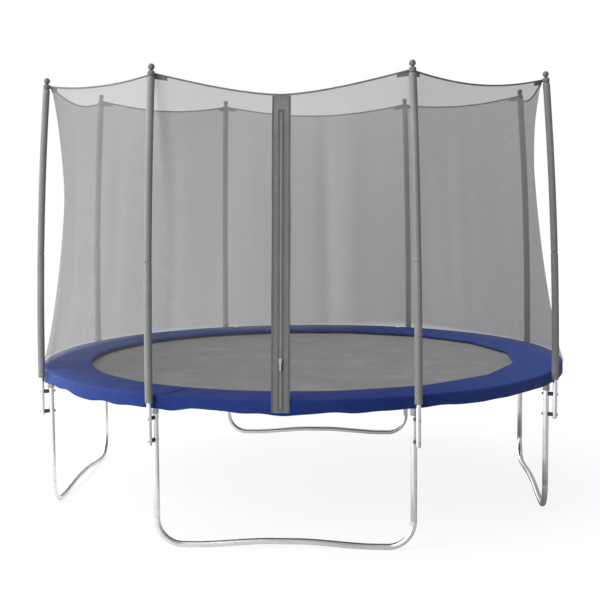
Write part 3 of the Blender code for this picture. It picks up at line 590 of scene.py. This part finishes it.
def capParts():
    # A collar over the tube's end, a rounded shoulder, a neck and a ball, with a rib round the foot.
    place = poleAt(cap["base"])[:3]
    collar, neck, ball = cap["collar"], cap["neck"], cap["ball"]
    profile = [(collar - 0.0016, 0.013), (collar - 0.0016, 0.0), (collar - 0.0005, 0.0), (collar, 0.0006),
               (collar, 0.0245), (collar - 0.0006, 0.0262), (collar - 0.0025, 0.0274), (neck + 0.0010, 0.0286),
               (neck + 0.0001, 0.0300), (neck, 0.0315)]
    profile += [(ball * math.sin(a), cap["ballRise"] - ball * math.cos(a))
                for a in spread(math.asin(neck / ball), math.pi - 0.02, 16)]
    rib = [(collar, 0.0010), (collar + 0.0007, 0.0016), (collar + 0.0007, 0.0030), (collar, 0.0036)]
    return [lathe(profile, *place, 28), lathe(rib, *place, 28)]


def hexParts(start, stop, size, height, dome=False):
    # A bolt head or nut across the radial axis, with bevelled corners.
    centre = Vector((0, 0, height))
    edge = (stop - start) * 0.18
    if dome:
        profile = [(size, start), (size, start + edge), (size * 0.9, start + (stop - start) * 0.55),
                   (size * 0.6, start + (stop - start) * 0.88), (size * 0.2, stop)]
        return lathe(profile, centre, sideways, upwards, 20, caps=True)
    profile = [(size * 0.93, start), (size, start + edge), (size, stop - edge), (size * 0.93, stop)]
    return lathe(profile, centre, sideways, upwards, 6, caps=True)


def boltParts(height):
    # From the nut inside the leg to the domed head outside the pole.
    inside = ring["radius"] - legTube["radius"]
    outside = pole["radius"] + pole["tube"]
    rounds = ((bolt["shank"], inside - 0.009, outside + 0.001, 16),
              (bolt["washer"], inside - 0.0016, inside - 0.0002, 20),
              (bolt["washer"], outside - 0.0004, outside + 0.0010, 20))
    parts = [lathe([(radius, start), (radius, stop)], upwards * height, sideways, upwards, count, caps=True)
             for radius, start, stop, count in rounds]
    return parts + [hexParts(inside - 0.0074, inside - 0.0016, bolt["nut"], height),
                    hexParts(outside + 0.0010, outside + 0.0054, bolt["head"], height, dome=True)]


def spacerParts(height):
    # A plastic saddle whose ends are hollowed to the leg tube and to the pole.
    rows = []
    count = 28
    for along, share in ((0.0, 0.0), (0.0, 1.0), (0.5, 0.92), (1.0, 1.0), (1.0, 0.0)):
        row = []
        for i in range(count):
            angle = 2 * math.pi * i / count
            radius = bolt["spacerBore"] + (bolt["spacer"] - bolt["spacerBore"]) * share
            x, z = radius * math.cos(angle), radius * math.sin(angle)
            leg = ring["radius"] + math.sqrt(legTube["radius"] ** 2 - x * x) + 0.0003
            near = pole["radius"] - math.sqrt(max(pole["tube"] ** 2 - x * x, 0.0)) - 0.0002
            near = min(near, pole["radius"] - 0.0055)
            leg = min(leg, near - 0.002)
            row.append(Vector((x, -(leg + (near - leg) * along), height + z)))
        rows.append(row)
    return loftParts(rows, closed=True)


def buildPoles():
    tube, caps = poleParts(), capParts()
    bolts = [part for height in bolt["heights"] for part in boltParts(height)]
    spacers = [spacerParts(height) for height in bolt["heights"]]
    middle = pole["sleeveJoint"]
    for i, (corner, azimuth) in enumerate(corners.items()):
        addOnFrame("pole_end_" + corner, turned(tube, azimuth), "tube", "pole_steel", "pole_tube_" + corner)
        addOnFrame("pole_bolts_" + corner, turned(bolts, azimuth), "bolt", "pole_steel", sharp=30)
        addOnFrame("pole_spacers_" + corner, turned(spacers, azimuth), "spacer", "cap_plastic")
        low = sleeveParts(pole["sleeveBottom"], middle - 0.0008, pole["lowerSleeve"], 10 + i)
        high = sleeveParts(middle + 0.0008, cap["base"] - 0.0006, pole["upperSleeve"], 50 + i)
        addOnFrame("sleeve_low_" + corner, turned(low, azimuth), "foam", "sleeve_foam", "pole_sleeve_" + corner)
        addOnFrame("sleeve_high_" + corner, turned(high, azimuth), "foam", "sleeve_foam")
        addOnFrame("cap_" + corner, turned(caps, azimuth), "cap", "cap_plastic", "pole_cap_" + corner)
    print("poles, sleeves and caps made")


buildPoles()


# Jumping mat, its edge and the springs

mat = {
    "radius": 1.335, "top": 0.745, "gores": 16, "rows": 30, "columns": 8,
    "hemWidth": 0.045, "strapWidth": 0.026, "strapThick": 0.0012, "bowlStart": 1.495,
}
vRing = {"gap": 0.005, "reach": 0.034, "half": 0.017, "corner": 0.004, "wire": 0.0018, "drop": 0.009}
spring = {"perGore": 4, "coilRadius": 0.0085, "wire": 0.0016, "turns": 28, "perTurn": 10,
          "inner": 1.392, "outer": 1.470, "height": 0.735, "hookRadius": 0.0065}


def gridParts(rows, uvRows):
    # A cloth of rows of points, with its own UVs.
    verts = [p for row in rows for p in row]
    width = len(rows[0])
    faces, uvs = [], []
    for r in range(len(rows) - 1):
        for c in range(width - 1):
            around = ((r, c), (r, c + 1), (r + 1, c + 1), (r + 1, c))
            faces.append(tuple(a * width + b for a, b in around))
            uvs += [uvRows[a][b] for a, b in around]
    return verts, faces, uvs


def goreParts(azimuth):
    # One sector of the mat, from near the middle to its edge; the weave runs the same way all over.
    half = 180 / mat["gores"]
    rows = []
    for radius in [0.0] + spread(0.04, mat["radius"] - 0.001, mat["rows"]):
        rows.append([polar(radius, azimuth + a, mat["top"]) for a in spread(-half, half, mat["columns"])])
    return gridParts(rows, [[(p.x, p.y) for p in row] for row in rows])


def hemParts(azimuth):
    # The doubled edge: webbing above and below the mat.
    half = 180 / mat["gores"]
    r, t = mat["radius"], mat["top"]
    inside = r - mat["hemWidth"]
    profile = [(inside, t + 0.0004), (inside + 0.001, t + 0.0018), (r - 0.001, t + 0.0020),
               (r + 0.0012, t - 0.0004), (r - 0.001, t - 0.0030), (inside + 0.001, t - 0.0028),
               (inside, t - 0.0012)]
    rows = [[polar(pr, azimuth + a, pz) for pr, pz in profile] for a in spread(-half, half, 12)]
    return loftParts(rows, caps=False)


def strapParts(azimuth):
    # A tab that folds over the side of the V-ring.
    r, t, half = mat["radius"], mat["top"], mat["strapWidth"] / 2
    line = [(r - 0.040, t + 0.0030), (r - 0.012, t + 0.0034), (r + 0.004, t + 0.0026), (r + 0.0095, t - 0.0005),
            (r + 0.004, t - 0.0040), (r - 0.012, t - 0.0048), (r - 0.036, t - 0.0044)]
    out, across = polar(1, azimuth, 0), polar(1, azimuth + 90, 0)
    rings = []
    for i, (pr, pz) in enumerate(line):
        before, after = line[max(i - 1, 0)], line[min(i + 1, len(line) - 1)]
        ahead = (out * (after[0] - before[0]) + Vector((0, 0, after[1] - before[1]))).normalized()
        normal = across.cross(ahead)
        centre = out * pr + Vector((0, 0, pz))
        rings.append([centre + across * (s * half) + normal * (d * mat["strapThick"] / 2)
                      for s, d in ((-1, -1), (1, -1), (1, 1), (-1, 1))])
    return loftParts(rings, caps=True)


def vRingParts(azimuth):
    # The steel triangle at the mat's edge, its point towards the spring.
    out, across = polar(1, azimuth, 0), polar(1, azimuth + 90, 0)
    near = mat["radius"] + vRing["gap"]
    far, half, corner = near + vRing["reach"], vRing["half"], vRing["corner"]
    line = []
    for r, x in ((near, -half + corner), (near, 0.0), (near, half - corner), (near + corner, half),
                 (far - 0.012, 0.0095), (far - 0.002, 0.0035), (far, 0.0), (far - 0.002, -0.0035),
                 (far - 0.012, -0.0095), (near + corner, -half)):
        share = (r - near) / (far - near)
        line.append(out * r + across * x + upwards * (mat["top"] - 0.0008 - vRing["drop"] * share))
    return sweep(line, vRing["wire"], 8, closed=True)


def hookLine(out, centre, first, last):
    # Half a turn of the spring's wire, upright and in line with the coil.
    size = spring["hookRadius"]
    middle = out * centre + upwards * (spring["height"] - size + 0.002)
    turns = [math.radians(angle) for angle in spread(first, last, 8)]
    return [middle + out * (size * math.cos(a)) + upwards * (size * math.sin(a)) for a in turns]


def springParts(azimuth):
    # One coil spring with a hook at each end, from the V-ring to the hole in the rail.
    out, across = polar(1, azimuth, 0), polar(1, azimuth + 90, 0)
    low, high, steps = spring["inner"], spring["outer"], spring["turns"] * spring["perTurn"]
    base = upwards * spring["height"]
    line = hookLine(out, low - 0.014, 250, 90) + [out * (low - 0.006) + base + upwards * 0.0015]
    for i in range(steps + 1):
        a = 2 * math.pi * i / spring["perTurn"] + math.pi / 2
        grow = min(1.0, i / spring["perTurn"], (steps - i) / spring["perTurn"])
        wide = spring["coilRadius"] * (0.25 + 0.75 * grow)
        line.append(out * (low + (high - low) * i / steps) + base + across * (wide * math.cos(a))
                    + upwards * (wide * math.sin(a)))
    line += [out * (high + 0.006) + base + upwards * 0.0015] + hookLine(out, high + 0.016, 90, -90)
    return sweep(line, spring["wire"], 6)


def buildMat():
    for k in range(mat["gores"]):
        azimuth = (k + 0.5) * 360 / mat["gores"]
        gore = addMesh(f"mat_gore_{k + 1:02d}", goreParts(azimuth), finishes["mat"])
        hem = addMesh(f"mat_hem_{k + 1:02d}", hemParts(azimuth), finishes["hem"])
        places = [azimuth + (j - (spring["perGore"] - 1) / 2) * 360 / mat["gores"] / spring["perGore"]
                  for j in range(spring["perGore"])]
        straps = addMesh(f"ring_straps_{k + 1:02d}", [strapParts(a) for a in places], finishes["hem"])
        rings = addMesh(f"v_rings_{k + 1:02d}", [vRingParts(a) for a in places], finishes["bolt"])
        coils = addMesh(f"springs_{k + 1:02d}", [springParts(a) for a in places], finishes["spring"], 60)
        for piece, slotName in ((gore, "mat_weave"), (hem, "webbing"), (straps, "webbing"),
                                (rings, "spring_steel"), (coils, "spring_steel")):
            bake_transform(piece)
        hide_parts("jump_mat")
        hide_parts("springs")
    print("mat and", mat["gores"] * spring["perGore"], "springs made")


buildMat()


# Spring pad

pad = {
    "inner": 1.256, "outer": 1.5322, "top": 0.7755, "bottom": 0.7535, "skirtBottom": 0.7126,
    "stepsRound": 720, "seams": 8, "firstSeam": 22.5, "facets": 16, "clothPuff": 0.004, "slackFrom": 300,
    "ties": 16, "tieRadius": 0.0218, "tieCord": 0.0020,
}


def padShape(azimuth):
    # What changes round the ring: seam nearness, puff, inner edge facets, skirt slackness and wave.
    pitch = 360 / pad["seams"]
    fromSeam = abs((azimuth - pad["firstSeam"] + pitch / 2) % pitch - pitch / 2)
    seam = math.exp(-((fromSeam / 0.35) ** 2))
    facetPitch = 360 / pad["facets"]
    within = ((azimuth + facetPitch / 2) % facetPitch) - facetPitch / 2
    facet = math.cos(math.radians(facetPitch / 2)) / math.cos(math.radians(within))
    a = math.radians(azimuth)
    slack = smooth(0.15, 0.95, 0.5 + 0.5 * math.cos(math.radians(azimuth - pad["slackFrom"])))
    wave = (0.6 * math.sin(9 * a + 0.8) + 0.5 * math.sin(17 * a + 2.1) + 0.35 * math.sin(31 * a + 0.4)
            + 0.2 * math.sin(53 * a + 1.7))
    ripple = 0.5 * math.sin(23 * a + 1.1) + 0.4 * math.sin(41 * a + 0.3) + 0.3 * math.sin(67 * a + 2.6)
    return seam, facet, slack, wave, ripple


def padParts():
    # The cover's section at each step round the ring: inner edge, top, outer edge, skirt and underside.
    rows = []
    bottom, outer = pad["bottom"], pad["outer"]
    for k in range(pad["stepsRound"]):
        azimuth = 360 * k / pad["stepsRound"]
        seam, facet, slack, wave, ripple = padShape(azimuth)
        inner = pad["inner"] * (1 + (facet - 1) * (0.15 + 0.75 * (1 - slack))) + 0.004
        top = pad["top"] - 0.0045 * seam
        profile = [(inner + 0.004, bottom), (inner - 0.0005, bottom + 0.004), (inner - 0.001, bottom + 0.009),
                   (inner + 0.002, pad["top"] - 0.0060)]
        for share in spread(0.04, 0.93, 16):
            puff = pad["clothPuff"] * math.sin(math.pi * min(share * 1.05, 1.0)) ** 0.7
            dip = 0.0022 * slack * ripple * math.sin(math.pi * share) ** 2
            height = pad["top"] - 0.0045 + 0.0035 * smooth(0.0, 0.9, share) + puff * (1 - seam) - 0.0035 * seam
            profile.append((inner + (outer - inner) * share, height + dip))
        drop = pad["skirtBottom"] - 0.0085 * slack * (0.6 + wave) - 0.0015 * wave
        bulge = 0.0035 * slack * (0.5 + 0.5 * wave) + 0.0010 * ripple
        profile += [(outer - 0.0085, top - 0.0004), (outer - 0.0030, top - 0.0030),
                    (outer - 0.0005, top - 0.0078)]
        outside = [(share, 0.0, 0.0) for share in spread(0.12, 1.0, 8)]
        inside = [(share, 0.0022, 0.0004) for share in spread(1.0, 0.1, 5)]
        for share, behind, above in outside + inside:
            out = outer + bulge * math.sin(math.pi * share * 0.75) - 0.0008 * seam - behind
            profile.append((out, top - 0.008 + (drop - top + 0.008) * share + above))
        profile += [(outer - 0.006, bottom + 0.001), (outer - 0.10, bottom), (inner + 0.08, bottom)]
        rows.append([polar(r, azimuth, z) for r, z in profile])
    return loftParts(rows, closed=True)


def padSeamParts():
    # Stitched ribs over the joins in the cover.
    parts = []
    inner = pad["inner"] + 0.004
    for k in range(pad["seams"]):
        azimuth = pad["firstSeam"] + k * 360 / pad["seams"]
        for shift in (-0.20, 0.20):
            line = [polar(inner + (pad["outer"] - inner) * share, azimuth + shift,
                          pad["top"] - 0.0060 + 0.0035 * smooth(0, 0.9, share))
                    for share in spread(0.05, 0.95, 40)]
            parts.append(sweep(line, 0.0006, 5))
    return parts


def padTieParts():
    # Elastic loops that hold the cover down round the rail.
    parts = []
    for k in range(pad["ties"]):
        azimuth = (k + 0.5) * 360 / pad["ties"]
        centre = polar(ring["radius"], azimuth, ring["height"])
        line = ringAt(centre, polar(1, azimuth, 0), upwards, pad["tieRadius"], 20)
        parts.append(sweep(line, pad["tieCord"], 6, closed=True))
    return parts


def buildPad():
    cover = addOnFrame("pad_cover", padParts(), "pad", "pad_vinyl", "spring_pad", sharp=50)
    addOnFrame("pad_seam_stitching", padSeamParts(), "pad", "pad_vinyl")
    addOnFrame("pad_ties", padTieParts(), "hem", "webbing")
    print("spring pad made")


buildPad()


# Enclosure net, rope and door

net = {
    "topRadius": 1.4695, "topHeight": 2.336, "foldHeight": 0.7800, "foldRadius": 1.5362, "hemHeight": 0.715,
    "waist": 0.098, "middleWaist": 0.42, "waistPower": 0.75, "rows": 64, "step": 0.5, "doorHalf": 0.0455,
}
# Each bay between poles: middle azimuth, half angle, sag of the top edge and how rounded the sag is.
bays = [(0, 25, 0.110, 1.6), (45, 20, 0.049, 2.0), (90, 25, 0.064, 2.0), (135, 20, 0.036, 2.0),
        (180, 25, 0.070, 2.0), (225, 20, 0.047, 1.9), (270, 25, 0.064, 2.0), (315, 20, 0.030, 2.2)]
# Each soft fold: azimuth, half width, depth and lean.
folds = [(-12, 3.0, 0.010, 1.5), (9, 1.6, 0.016, 0.0), (13.5, 2.2, -0.012, 0.5), (30, 2.4, 0.012, -1.0),
         (38, 1.8, -0.010, 0.5), (52, 3.5, 0.012, 1.0), (78, 4.0, 0.010, 0.0), (104, 3.0, -0.010, 1.5),
         (128, 2.2, 0.012, -0.5), (148, 3.2, 0.010, 0.8), (166, 2.0, 0.014, 0.5), (172, 1.6, -0.010, 0.2),
         (186, 3.4, 0.010, -1.0), (199, 2.0, 0.012, 0.0), (214, 2.6, -0.010, 1.0), (236, 3.2, 0.012, -0.6),
         (258, 2.4, 0.010, 0.4), (281, 3.6, -0.010, 0.9), (303, 2.4, 0.012, -0.8), (322, 2.0, 0.010, 0.6),
         (340, 2.6, -0.009, 0.3)]


def bayOf(azimuth):
    # The bay that an azimuth lies in, after the azimuth's distance from its middle.
    for middle, *shape in bays:
        across = (azimuth - middle + 180) % 360 - 180
        if abs(across) <= shape[0] + 1e-9:
            return across, *shape
    raise ValueError(f"no bay at {azimuth}")


def foldDepth(azimuth, rise):
    total = 0.0
    for middle, width, depth, lean in folds:
        away = (azimuth - middle - lean * (rise - 0.5) * 2 + 180) % 360 - 180
        total += depth * math.exp(-((away / width) ** 2))
    total += 0.0016 * math.sin(math.radians(azimuth * 11 + 40 * rise))
    total += 0.0010 * math.sin(math.radians(azimuth * 23))
    return total * math.sin(math.pi * min(max(rise, 0.0), 1.0)) ** 0.8


def netPoint(azimuth, rise):
    # rise is 0 at the pad's edge and 1 at the rope; below 0 the net hangs down the skirt.
    if rise < 0:
        height = net["foldHeight"] + (net["foldHeight"] - net["hemHeight"]) * rise
        return polar(net["foldRadius"], azimuth, height)
    across, half, sag, power = bayOf(azimuth)
    share = across / half
    topHeight = net["topHeight"] - sag * (1 - abs(share) ** power)
    topRadius = net["topRadius"] * math.cos(math.radians(half)) / math.cos(math.radians(across))
    middleWaist = 0.0 if abs((azimuth + 180) % 360 - 180) < 25 else net["middleWaist"]
    waist = net["waist"] * (middleWaist + (1 - middleWaist) * share * share)
    waist *= max(math.sin(math.pi * rise ** 0.85), 0.0) ** net["waistPower"]
    radius = net["foldRadius"] + (topRadius - net["foldRadius"]) * rise - waist - foldDepth(azimuth, rise)
    return polar(radius, azimuth, net["foldHeight"] + (topHeight - net["foldHeight"]) * rise)


def netParts():
    rises = [-1.0, -0.66, -0.33] + spread(0.0, 1.0, net["rows"])
    rows, uvRows = [], []
    for rise in rises:
        edge = math.degrees(math.asin(net["doorHalf"] / abs(netPoint(0, rise).y)))
        azimuths = spread(edge, 360 - edge, round(360 / net["step"]))
        upNet = 0.065 * (rise + 1) if rise < 0 else 0.065 + 1.49 * rise
        rows.append([netPoint(a, rise) for a in azimuths])
        uvRows.append([(math.radians(a) * 1.5, upNet) for a in azimuths])
    return gridParts(rows, uvRows)


def ropePoints():
    line = []
    for bay in bays:
        middle, half = bay[:2]
        for across in spread(-half, half, 20)[:-1]:
            line.append(netPoint(middle + across + 1e-6, 1.0) + upwards * 0.0035)
    return line


def cornerTabParts(azimuth):
    # The doubled webbing sewn over the net's top corner, on both faces, with square ends.
    parts = []
    for depth in (0.0016, -0.0016):
        rows, uvRows = [], []
        for down in spread(0, 1, 6):
            shares = spread(-1, 1, 16)
            rows.append([netPoint(azimuth + 2.35 * share, 1.0 - (0.0165 - 0.0045 * abs(share)) * down)
                         + polar(depth, azimuth, 0.002) for share in shares])
            uvRows.append([(0.06 * share, 0.025 * down) for share in shares])
        parts.append(gridParts(rows, uvRows))
    return parts


def cornerStrapParts():
    # A webbing loop from the net's corner round the cap's collar, under the ball; made in front.
    centre, side, up, along = poleAt(cap["base"])
    loop = centre + along * 0.0150
    line = []
    for angle in spread(-158, 158, 20):
        a = math.radians(angle)
        line.append(loop + side * (0.0162 * math.sin(a)) - up * (0.0162 * math.cos(a)))
    tip = Vector((0, -net["topRadius"] + 0.001, net["topHeight"] + 0.002))
    line = [tip - sideways * 0.003] + line + [tip + sideways * 0.003]
    return [sweep(line, 0.0020, 10, flatten=5.2)]


def buildNet():
    panels = [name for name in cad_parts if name.startswith("net_panel")]
    wall = addOnFrame("net_wall", netParts(), "net", "net_mesh", *panels, sharp=80)
    hem = sweep(ropePoints(), 0.0045, 10, closed=True)
    rope = addOnFrame("net_top_hem", hem, "rope", "webbing", "net_rope")
    tabs = [part for azimuth in corners.values() for part in cornerTabParts(azimuth)]
    tab = addOnFrame("net_corner_tabs", tabs, "rope", "webbing", sharp=80)
    strap = cornerStrapParts()
    for corner, azimuth in corners.items():
        addOnFrame("cap_strap_" + corner, turned(strap, azimuth), "rope", "webbing")
    print("net made")


buildNet()


door = {"half": 0.045, "thick": 0.0016, "bindingHalf": 0.004, "teethPitch": 0.0042, "teethOut": 0.0036,
        "zipFrom": 0.735, "zipTo": 2.150, "tapeHalf": 0.016}


def bandLine(height):
    # The band's middle at a height: down the skirt it is upright, above it leans straight to the rope.
    front, top = net["foldHeight"], netPoint(0, 1.0)
    if height <= front:
        return Vector((0, -net["foldRadius"], height))
    share = (height - front) / (top.z - front)
    return Vector((0, -net["foldRadius"] + (top.y + net["foldRadius"]) * share, height))


def bandNormal():
    low, high = bandLine(net["foldHeight"]), bandLine(netPoint(0, 1.0).z)
    up = (high - low).normalized()
    return sideways.cross(up), up


def stripParts(low, high, half, front, back, wave=0.0):
    # A flat strip on the band's line, between two depths in front of its middle.
    out = bandNormal()[0]
    rings = []
    fold = net["foldHeight"]
    for height in [low, fold] + spread(fold + 0.01, high, 60):
        middle = bandLine(height)
        bow = wave * math.sin(height * 9.0) + wave * 0.6 * math.sin(height * 23.0 + 1.0)
        rings.append([middle + sideways * (x + bow) + out * d
                      for x, d in ((-half, back), (-half * 0.5, back), (half * 0.5, back), (half, back),
                                   (half, front), (half * 0.5, front), (-half * 0.5, front), (-half, front))])
    return loftParts(rings, caps=True)


def teethParts():
    # Two rows of interlocking teeth up the middle of the band.
    out, up = bandNormal()
    parts = []
    count = int((door["zipTo"] - door["zipFrom"]) / door["teethPitch"])
    for i in range(count):
        height = door["zipFrom"] + i * door["teethPitch"]
        middle = bandLine(height) + out * door["teethOut"]
        side = 1 if i % 2 else -1
        parts.append(loftParts([
            [middle + sideways * (side * x) + up * (u * 0.0013 * size) + out * (d * 0.0009 * size)
             for u, d in ((-1, -1), (1, -1), (1, 1), (-1, 1))] for x, size in ((-0.0006, 0.6), (0.0032, 1.0))],
            caps=True))
    return parts


def buildDoor():
    low, top = net["hemHeight"] - 0.002, netPoint(0, 1.0).z
    thick, half = door["thick"], door["half"]
    cloth = stripParts(low, top, half, thick, -thick, wave=0.0004)
    band = addOnFrame("door_band_cloth", cloth, "band", "webbing", "door_band")
    verts, *rest = stripParts(low, top, door["bindingHalf"], thick + 0.0012, thick + 0.0001)
    for sign, name in ((-1, "left"), (1, "right")):
        moved = [v + sideways * (sign * (half - 0.005)) for v in verts]
        addOnFrame("door_binding_" + name, (moved, *rest), "tape", "webbing")
    ends = (door["zipFrom"] - 0.01, door["zipTo"] + 0.01)
    tape = stripParts(*ends, door["tapeHalf"], thick + 0.0010, thick + 0.0001)
    addOnFrame("zip_tape", tape, "tape", "webbing")
    addOnFrame("zip_teeth", teethParts(), "coil", "zip_metal")
    for node in ("zip_slider", "zip_pull"):
        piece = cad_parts[node]
        piece.data.materials.clear()
        piece.data.materials.append(finishes["zip"])
    print("door and zip made")


buildDoor()


# Floor, world and lights

def buildStage():
    stage = {"size": 60.0, "sky": 1.0, "leftSide": 2.9, "rightSide": 0.42, "glowFrom": -0.60, "glowTo": -0.05,
             "floorTone": 0.42, "seenTone": 0.12, "lift": 0.88, "leftThrow": 0.85, "rightThrow": 0.02,
             "throwFrom": -2.6, "throwTo": 1.3}
    mesh = bpy.data.meshes.new("floor")
    half = stage["size"] / 2
    around = [(-half, -half, 0), (half, -half, 0), (half, half, 0), (-half, half, 0)]
    mesh.from_pydata(around, [], [(0, 1, 2, 3)])
    floor = bpy.data.objects.new("floor", mesh)
    floor.location.z = -0.0005
    bpy.context.scene.collection.objects.link(floor)
    material, tree, shader = startMaterial("pale_floor", roughness=1.0, specular=0.0)
    shader.inputs["Emission Color"].default_value = (1, 1, 1, 1)
    seen = addNode(tree, "ShaderNodeLightPath").outputs["Is Camera Ray"]
    mixTo(tree, shader, seen, [stage["floorTone"]] * 3, [stage["seenTone"]] * 3)
    # The left of the floor throws more light up than the right, for the tubes to reflect.
    across = addNode(tree, "ShaderNodeSeparateXYZ", {"Vector": placeOf(tree, "Object")}).outputs["X"]
    thrown = remap(tree, across, stage["throwFrom"], stage["throwTo"], stage["leftThrow"], stage["rightThrow"])
    lift = addNode(tree, "ShaderNodeMix", {0: seen, 2: thrown, 3: stage["lift"]}, data_type="FLOAT")
    tree.links.new(lift.outputs[0], shader.inputs["Emission Strength"])
    mesh.materials.append(material)

    # A white studio that is brighter on the left than on the right, and plain white behind.
    world = bpy.data.worlds.new("studio")
    bpy.context.scene.world = world
    world.use_nodes = True
    tree = world.node_tree
    background = tree.nodes["Background"]
    path = addNode(tree, "ShaderNodeLightPath")
    way = addNode(tree, "ShaderNodeSeparateXYZ", {"Vector": placeOf(tree, "Generated")})
    glow = addNode(tree, "ShaderNodeMapRange", {
        "Value": way.outputs["X"], "From Min": stage["glowFrom"], "From Max": stage["glowTo"],
        "To Min": stage["leftSide"], "To Max": stage["rightSide"]}, interpolation_type="SMOOTHSTEP")
    strength = addNode(tree, "ShaderNodeMix", {0: path.outputs["Is Camera Ray"], 2: glow.outputs["Result"],
                                               3: stage["sky"]}, data_type="FLOAT")
    background.inputs["Color"].default_value = (1, 1, 1, 1)
    tree.links.new(strength.outputs[0], background.inputs["Strength"])
    for name, place, size, power, aim in (
        ("key_light", (-5.5, -6.5, 6.0), 3.0, 320.0, (0, 0, 0.8)),
        ("top_light", (0.0, 0.5, 7.5), 6.0, 120.0, (0, 0, 0.8)),
    ):
        data = bpy.data.lights.new(name, "AREA")
        data.size = size
        data.energy = power
        light = bpy.data.objects.new(name, data)
        light.location = place
        light.rotation_euler = (Vector(aim) - Vector(place)).to_track_quat("-Z", "Y").to_euler()
        bpy.context.scene.collection.objects.link(light)
    bpy.context.scene.view_settings.view_transform = "Standard"
    print("stage and lights made")


buildStage()
